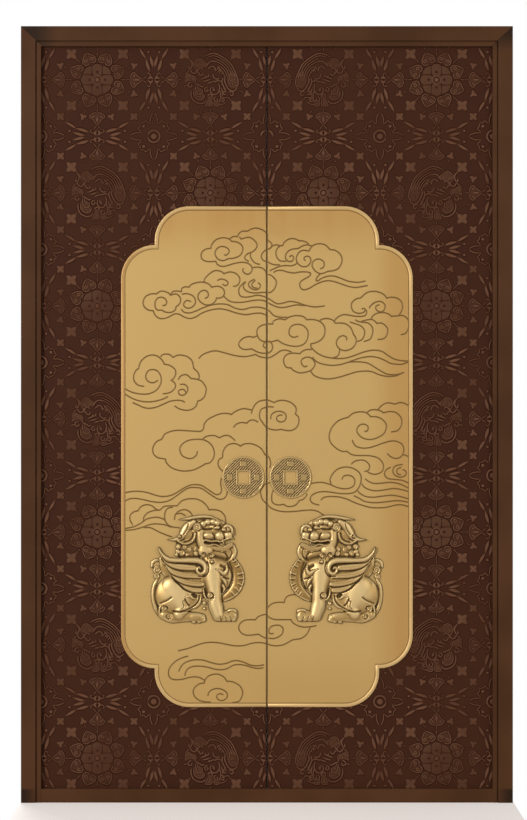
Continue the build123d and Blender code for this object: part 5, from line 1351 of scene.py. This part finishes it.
    # eye and brow
    r.ball(160, 850, 20, 11, 10, 5)
    r.ball(152, 851, 7, 5.5, 13, 4.5, over=True)
    r.cut("141 849, 147 857.5, 156 858, 163 852", 1.5, 4.5)
    r.cut("141 849, 150 844, 160 845, 170 848", 1.5, 4)
    r.cut("203 847, 188 845, 172 846", 3, 4.5)
    for cx, cz in ((196, 862), (182, 868), (166, 869), (153, 865)):
        r.ball(cx, cz, 11, 9, 12, 6.5)
        r.cut("%g %g, %g %g" % (cx - 8, cz - 8, cx - 7, cz + 6), 1.2, 2.5)
    r.limb("147 870, 172 882, 205 884, 237 879, 272 875", (3, 6, 6, 6, 1.2), 8, 6)
    r.cut("158 876, 178 879, 205 880, 235 875", 1.2, 2)
    r.spiral(214.5, 851, 14, 12, 7, 150, 1.5)
    # ear and the lock behind it
    r.limb("222 850, 226 828, 232 814, 250 806, 272 808", (10, 12, 12, 9, 4), 7, 6)
    r.ball(246, 832, 26, 26, 7, 6)
    r.limb("226 868, 247 852, 258 833, 270 819, 288 813, 307 813", (8, 13, 13, 9, 5, 1.2), 10, 7, over=True)
    r.cut("243 862, 247 845, 258 828", 1.6, 3.5)
    r.cut("262 852, 271 834, 284 821", 1.2, 2)
    r.limb("222 832, 226 815, 238 804, 256 800, 275 809", 3, 13, 3.5, over=True)
    r.cut("228 834, 232 819, 242 810, 256 806", 1.6, 4.5)
    r.spiral(269, 822, 7, 9, 5, 90, 1.0)
    # mane: curls along the neck
    for index, (cx, cz, size) in enumerate(((275, 792, 8), (253.5, 790.5, 8), (239, 782, 8), (262, 771, 9),
                                            (276.6, 776, 7), (220.6, 785, 8), (247, 767, 6), (280, 766, 6))):
        r.spiral(cx, cz, size, 8, 5, 70 * index, 1.2)
    r.height = np.minimum(r.height, beast["top"])
    return r


def boxBlur(values, radius):
    # mean over a square of 2 * radius + 1 cells, from running sums, done twice for a soft result
    for _ in range(2):
        for axis in (0, 1):
            pad = [(0, 0), (0, 0)]
            pad[axis] = (radius + 1, radius)
            total = np.cumsum(np.pad(values, pad, mode="edge"), axis=axis)
            size = 2 * radius + 1
            values = (np.take(total, range(size, total.shape[axis]), axis)
                      - np.take(total, range(total.shape[axis] - size), axis)) / size
    return values


def makeBeasts():
    # One grid over the beast. Points just outside the silhouette are drawn onto it, so the edge is smooth.
    cell, margin = beast["cell"], beast["margin"]
    x, z = np.meshgrid(np.arange(beastLow[0] - margin, beastHigh[0] + margin, cell),
                       np.arange(beastLow[2] - margin, beastHigh[2] + margin, cell), indexing="ij")
    carving = carveBeast(x, z)
    inside = carving.inside
    slopeX, slopeZ = np.gradient(inside, cell)
    steep = np.maximum(np.hypot(slopeX, slopeZ), 0.3)
    outside = inside <= 0
    pull = np.clip(-inside / steep + 0.02, 0, 1.3 * cell) * outside
    x, z = x + pull * slopeX / steep, z + pull * slopeZ / steep
    blurred = boxBlur(carving.height, int(beast["blurMm"] / cell))
    weight = boxBlur((~outside).astype(float), int(beast["broadMm"] / cell))
    broad = boxBlur(carving.height * ~outside, int(beast["broadMm"] / cell)) / np.maximum(weight, 0.05)
    carving = carveBeast(x, z)
    blank = carving.inside <= 0
    height = np.where(blank, beast["blank"], np.maximum(carving.height, beast["lowest"]))
    # painted light: hollow is patina and painted shade, also along the silhouette; shade is painted shade, crest a
    # painted highlight
    hollow = beast["hollowShare"] * softStep((blurred - height) / beast["hollowMm"], 0, 1)
    hollow = np.maximum(hollow, 1 - softStep(np.maximum(inside, 0), 0, beast["outlineMm"]))
    low = 1 - softStep(height, *beast["shadeBelow"])
    shade = np.maximum(softStep((broad - height) / beast["shadeMm"], 0, 1), low)
    rise = np.clip((height - blurred - beast["crestFrom"]) / beast["crestMm"], 0, 1)
    high = beast["aboveShare"] * softStep(height, *beast["crestAbove"])
    crest = np.maximum(beast["crestShare"] * boxBlur(rise, 1), high)
    kept = ~outside
    cells = kept[:-1, :-1] | kept[1:, :-1] | kept[:-1, 1:] | kept[1:, 1:]
    number = np.arange(x.size).reshape(x.shape)
    quads = np.stack([number[:-1, :-1], number[1:, :-1], number[1:, 1:], number[:-1, 1:]], -1)[cells]
    used, quads = np.unique(quads, return_inverse=True)
    quads = quads.reshape(-1, 4)
    count = len(used)
    border = openEdges(quads, count)
    walls = np.stack([border[:, 0], border[:, 0] + count, border[:, 1] + count, border[:, 1]], 1)
    back = quads[:, ::-1] + count
    flatX, flatZ, flatH = x.ravel()[used], z.ravel()[used], height.ravel()[used]
    shades = {"hollow": hollow.ravel()[used], "crest": (crest * (1 - hollow)).ravel()[used],
              "shade": shade.ravel()[used]}
    smooth = np.concatenate([np.ones(len(quads), bool), np.zeros(len(walls) + len(back), bool)])
    for side, sign in sides.items():
        front = np.stack([sign * flatX, beast["face"] - flatH, flatZ], 1)
        rear = np.stack([sign * flatX, np.full(count, beast["face"] + beast["embed"]), flatZ], 1)
        attributes = {k: np.concatenate([v, np.ones(count) * (k == "hollow")]) for k, v in shades.items()}
        makePiece(side + "_guardian_beast", np.concatenate([front, rear]),
                  [f[:, ::sign] for f in (quads, walls, back)], finishes["antique"], side + "_leaf",
                  [side + "_beast"], smooth, attributes)


makeBeasts()
print("beasts done")


# Soft lips that close the gap between the leaves: a pair that meet deep in it, and one across from the CAD seal

sealLow, sealHigh = cadEdges("meeting_seal")
lip = {"root": 2.2, "tip": 0.5, "bend": 0.8, "steps": 5, "set": 0.2, "taper": 1.4}
# side, depth and how far from the middle the tip stops
lips = {"left_meeting_lip": ("left", 3.0, 0.03), "right_meeting_lip": ("right", 3.0, 0.03),
        "right_front_lip": ("right", -12.2, 0.5)}


def makeLip(name, side, depth, play):
    # a wedge from the leaf's edge to its tip, bent to the room: half thickness falls from root to tip
    sign = sides[side]
    share = np.linspace(0, 1, lip["steps"])
    start = plate["seam"] + lip["set"]
    reach = start + share * (play - start)
    middle = depth + lip["bend"] * share ** 2
    half = lip["root"] * (1 - share) ** lip["taper"] + lip["tip"] * share
    section = np.concatenate([np.stack([reach, middle - half], 1), np.stack([reach, middle + half], 1)[::-1]])
    points = np.concatenate([np.column_stack([sign * section[:, 0], section[:, 1], np.full(len(section), height)])
                             for height in (sealLow[2], sealHigh[2])])
    ring = np.arange(len(section))
    follow = np.roll(ring, -1)
    walls = np.stack([ring, ring + len(section), follow + len(section), follow], 1)
    faces = [walls, ring[None], ring[::-1][None] + len(section)]
    makePiece(name, points, [f[:, ::sign] for f in faces], finishes["lips"], side + "_leaf", (),
              np.zeros(len(section) + 2, bool))


for name, settings in lips.items():
    makeLip(name, *settings)
print("lips done")


# Screws: countersunk heads with a cross recess, in the hinges' wings, the lock's plates and the backplate

screw = {
    "radius": 4.2, "proud": 0.2, "depth": 1.4, "slotHalf": 0.55, "slotReach": 2.5, "slotDepth": 0.9,
    "sideEase": 0.4, "endEase": 0.6, "taper": 0.7, "turns": 32, "rings": 10,
    # where they sit: the wings' and plates' faces across, then depth and height, all in the solids' frame
    "frameWing": 711.5, "leafWing": 710.5, "lockPlate": 2.7, "hingeHeights": (320, 1240, 2120),
    "wingSpots": ((13, 45), (32, 22), (32, -22), (13, -45)), "plateSpots": ((14.5, 865), (14.5, 1075)),
    "backplateSpots": ((-62.7, 55.5, 901), (-62.7, 55.5, 1037)),
}
wingScrews = [(y, height + rise) for height in screw["hingeHeights"] for y, rise in screw["wingSpots"]]


def makeScrews(name, body, slot, finish, spots, outward):
    # a head is a polar grid whose height over the plate = a flat dome less the cross, closed by a sunk back
    radius = np.linspace(0, 1, screw["rings"])[1:, None] * screw["radius"]
    turn = 2 * np.pi * (np.arange(screw["turns"]) + 0.5) / screw["turns"]
    u, v = radius * np.cos(turn), radius * np.sin(turn)
    narrow, wide = np.minimum(np.abs(u), np.abs(v)), np.maximum(np.abs(u), np.abs(v))
    cross = ((1 - softStep(narrow, screw["slotHalf"], screw["slotHalf"] + screw["sideEase"]))
             * (1 - softStep(wide, screw["slotReach"], screw["slotReach"] + screw["endEase"])))
    height = screw["proud"] * (1 - (radius / screw["radius"]) ** 4) - screw["slotDepth"] * cross
    ring = np.arange(u.size).reshape(u.shape)
    turns, sunk, taper = screw["turns"], -screw["depth"], screw["taper"]
    centre, back, middle = u.size, u.size + 1 + np.arange(turns), u.size + 1 + turns
    local = np.concatenate([
        np.stack([u.ravel(), v.ravel(), height.ravel()], 1), [[0, 0, screw["proud"] - screw["slotDepth"]]],
        np.stack([u[-1] * taper, v[-1] * taper, np.full(turns, sunk)], 1), [[0, 0, sunk]]])
    rings = np.concatenate([ring, back[None]])
    follow = np.roll(rings, -1, axis=1)
    inner = np.stack([np.full(turns, centre), ring[0], follow[0]], -1)
    under = np.stack([back, np.full(turns, middle), follow[-1]], -1)
    normal, upright = np.array(outward, float), np.array([0.0, 0.0, 1.0])
    axes = np.stack([np.cross(upright, normal), upright, normal])
    points = np.concatenate([np.array(spot) + local @ axes for spot in spots])
    step = len(local)
    faces = [np.concatenate([f + k * step for k in range(len(spots))]) for f in (ringFaces(rings), inner, under)]
    makePiece(name, points, faces, finishes[finish], body)


for side, sign in sides.items():
    leafBody, hinge, lock = side + "_leaf", ("hinge_steel", "bronzeHingeSteel"), ("lock_steel", "brushedLockSteel")
    for ending, body, looks, face, spots, outward in (
            ("_frame_hinge_screws", "frame", hinge, screw["frameWing"], wingScrews, -sign),
            ("_leaf_hinge_screws", leafBody, hinge, screw["leafWing"], wingScrews, sign),
            ("_lock_screws", leafBody, lock, screw["lockPlate"], screw["plateSpots"], -sign)):
        makeScrews(side + ending, body, *looks, [(sign * face, y, z) for y, z in spots], (outward, 0, 0))
makeScrews("backplate_screws", "left_leaf", "lever_metal", "antiqueBronzeLever", screw["backplateSpots"], (0, 1, 0))
print("screws done")


# Camera and light

view = {"distance": 14.25, "lens": 135, "sensor": 24, "across": -0.0105, "height": 1.2139}
camera = bpy.data.objects.new("camera", bpy.data.cameras.new("camera"))
camera.data.sensor_fit = "VERTICAL"
camera.data.sensor_height = view["sensor"]
camera.data.sensor_width = view["sensor"]
camera.data.lens = view["lens"]
camera.location = (view["across"], -view["distance"] + cadBox[0][1], view["height"])
camera.rotation_euler = (np.pi / 2, 0, 0)
bpy.context.scene.collection.objects.link(camera)
bpy.context.scene.camera = camera

lamps = {
    "key": {"place": (-4.6, -8.3, 2.9), "aim": (0, 0, 1.0), "size": 1.8, "power": 470},
    "fill": {"place": (3.5, -6.0, 2.2), "aim": (0, 0, 1.1), "size": 4.0, "power": 95},
    "back": {"place": (-1.6, 6.0, 2.1), "aim": (0, 0, 1.1), "size": 2.2, "power": 190},
}
for name, lamp in lamps.items():
    data = bpy.data.lights.new(name, "AREA")
    data.size = lamp["size"]
    data.energy = lamp["power"]
    light = bpy.data.objects.new(name, data)
    light.location = lamp["place"]
    light.rotation_euler = (Vector(lamp["aim"]) - Vector(lamp["place"])).to_track_quat("-Z", "Y").to_euler()
    bpy.context.scene.collection.objects.link(light)

# White surroundings: bright where the camera sees them, softer as light on the door

surroundings = {"seen": 1.0, "lighting": 0.42}
world = bpy.data.worlds.new("studio")
world.use_nodes = True
ray = addNode(world.node_tree, "ShaderNodeLightPath").outputs["Is Camera Ray"]
strength = addNode(world.node_tree, "ShaderNodeMapRange",
                   {3: surroundings["lighting"], 4: surroundings["seen"]}, {0: ray}).outputs[0]
world.node_tree.nodes["Background"].inputs["Color"].default_value = (1, 1, 1, 1)
world.node_tree.links.new(strength, world.node_tree.nodes["Background"].inputs["Strength"])
bpy.context.scene.world = world
bpy.context.scene.view_settings.view_transform = "Standard"

print("camera and lamps done")

floorSize = {"halfWidth": 0.762, "spread": 6.0, "front": -6.0, "back": 4.0, "colour": "#fdf4ef", "beyond": 0.05,
             "glow": 0.5, "edge": 0.002, "fade": 0.01, "grainMm": 3, "depthMm": 0.05}


def studioFloor():
    # A pale floor as wide as the door that runs out from it, on white paper that glows as the surroundings do
    mesh = bpy.data.meshes.new("studio_floor")
    w, low, high = floorSize["spread"], floorSize["front"], floorSize["back"]
    mesh.from_pydata([(-w, low, 0), (w, low, 0), (w, high, 0), (-w, high, 0)], [], [(0, 1, 2, 3)])
    material, tree, shader, place = newMaterial("studioPaper", 0.0, 0.6)
    axes = addNode(tree, "ShaderNodeSeparateXYZ", links={0: place}).outputs
    shader.inputs["Base Color"].default_value = linear(floorSize["colour"])
    bump(tree, shader, noise(tree, place, floorSize["grainMm"], 2), floorSize["depthMm"], 0.3)
    half, edge = floorSize["halfWidth"], floorSize["edge"]
    beside = spread(tree, maths(tree, "ABSOLUTE", axes[0]), half - edge, half + edge)
    behind = spread(tree, axes[1], floorSize["beyond"] - floorSize["fade"], floorSize["beyond"])
    white = maths(tree, "MAXIMUM", beside, behind)
    ray = addNode(tree, "ShaderNodeLightPath").outputs["Is Camera Ray"]
    glow = spread(tree, ray, 0, 1, surroundings["lighting"], surroundings["seen"])
    tint = mixColours(tree, white, linear(floorSize["colour"]), (1, 1, 1, 1))
    paper = addNode(tree, "ShaderNodeEmission", links={"Strength": glow, "Color": tint})
    share = maths(tree, "MAXIMUM", white, floorSize["glow"])
    both = addNode(tree, "ShaderNodeMixShader", links={0: share, 1: shader.outputs[0], 2: paper.outputs[0]})
    tree.links.new(both.outputs[0], tree.nodes["Material Output"].inputs["Surface"])
    mesh.materials.append(material)
    floor = bpy.data.objects.new("studio_floor", mesh)
    bpy.context.scene.collection.objects.link(floor)


studioFloor()
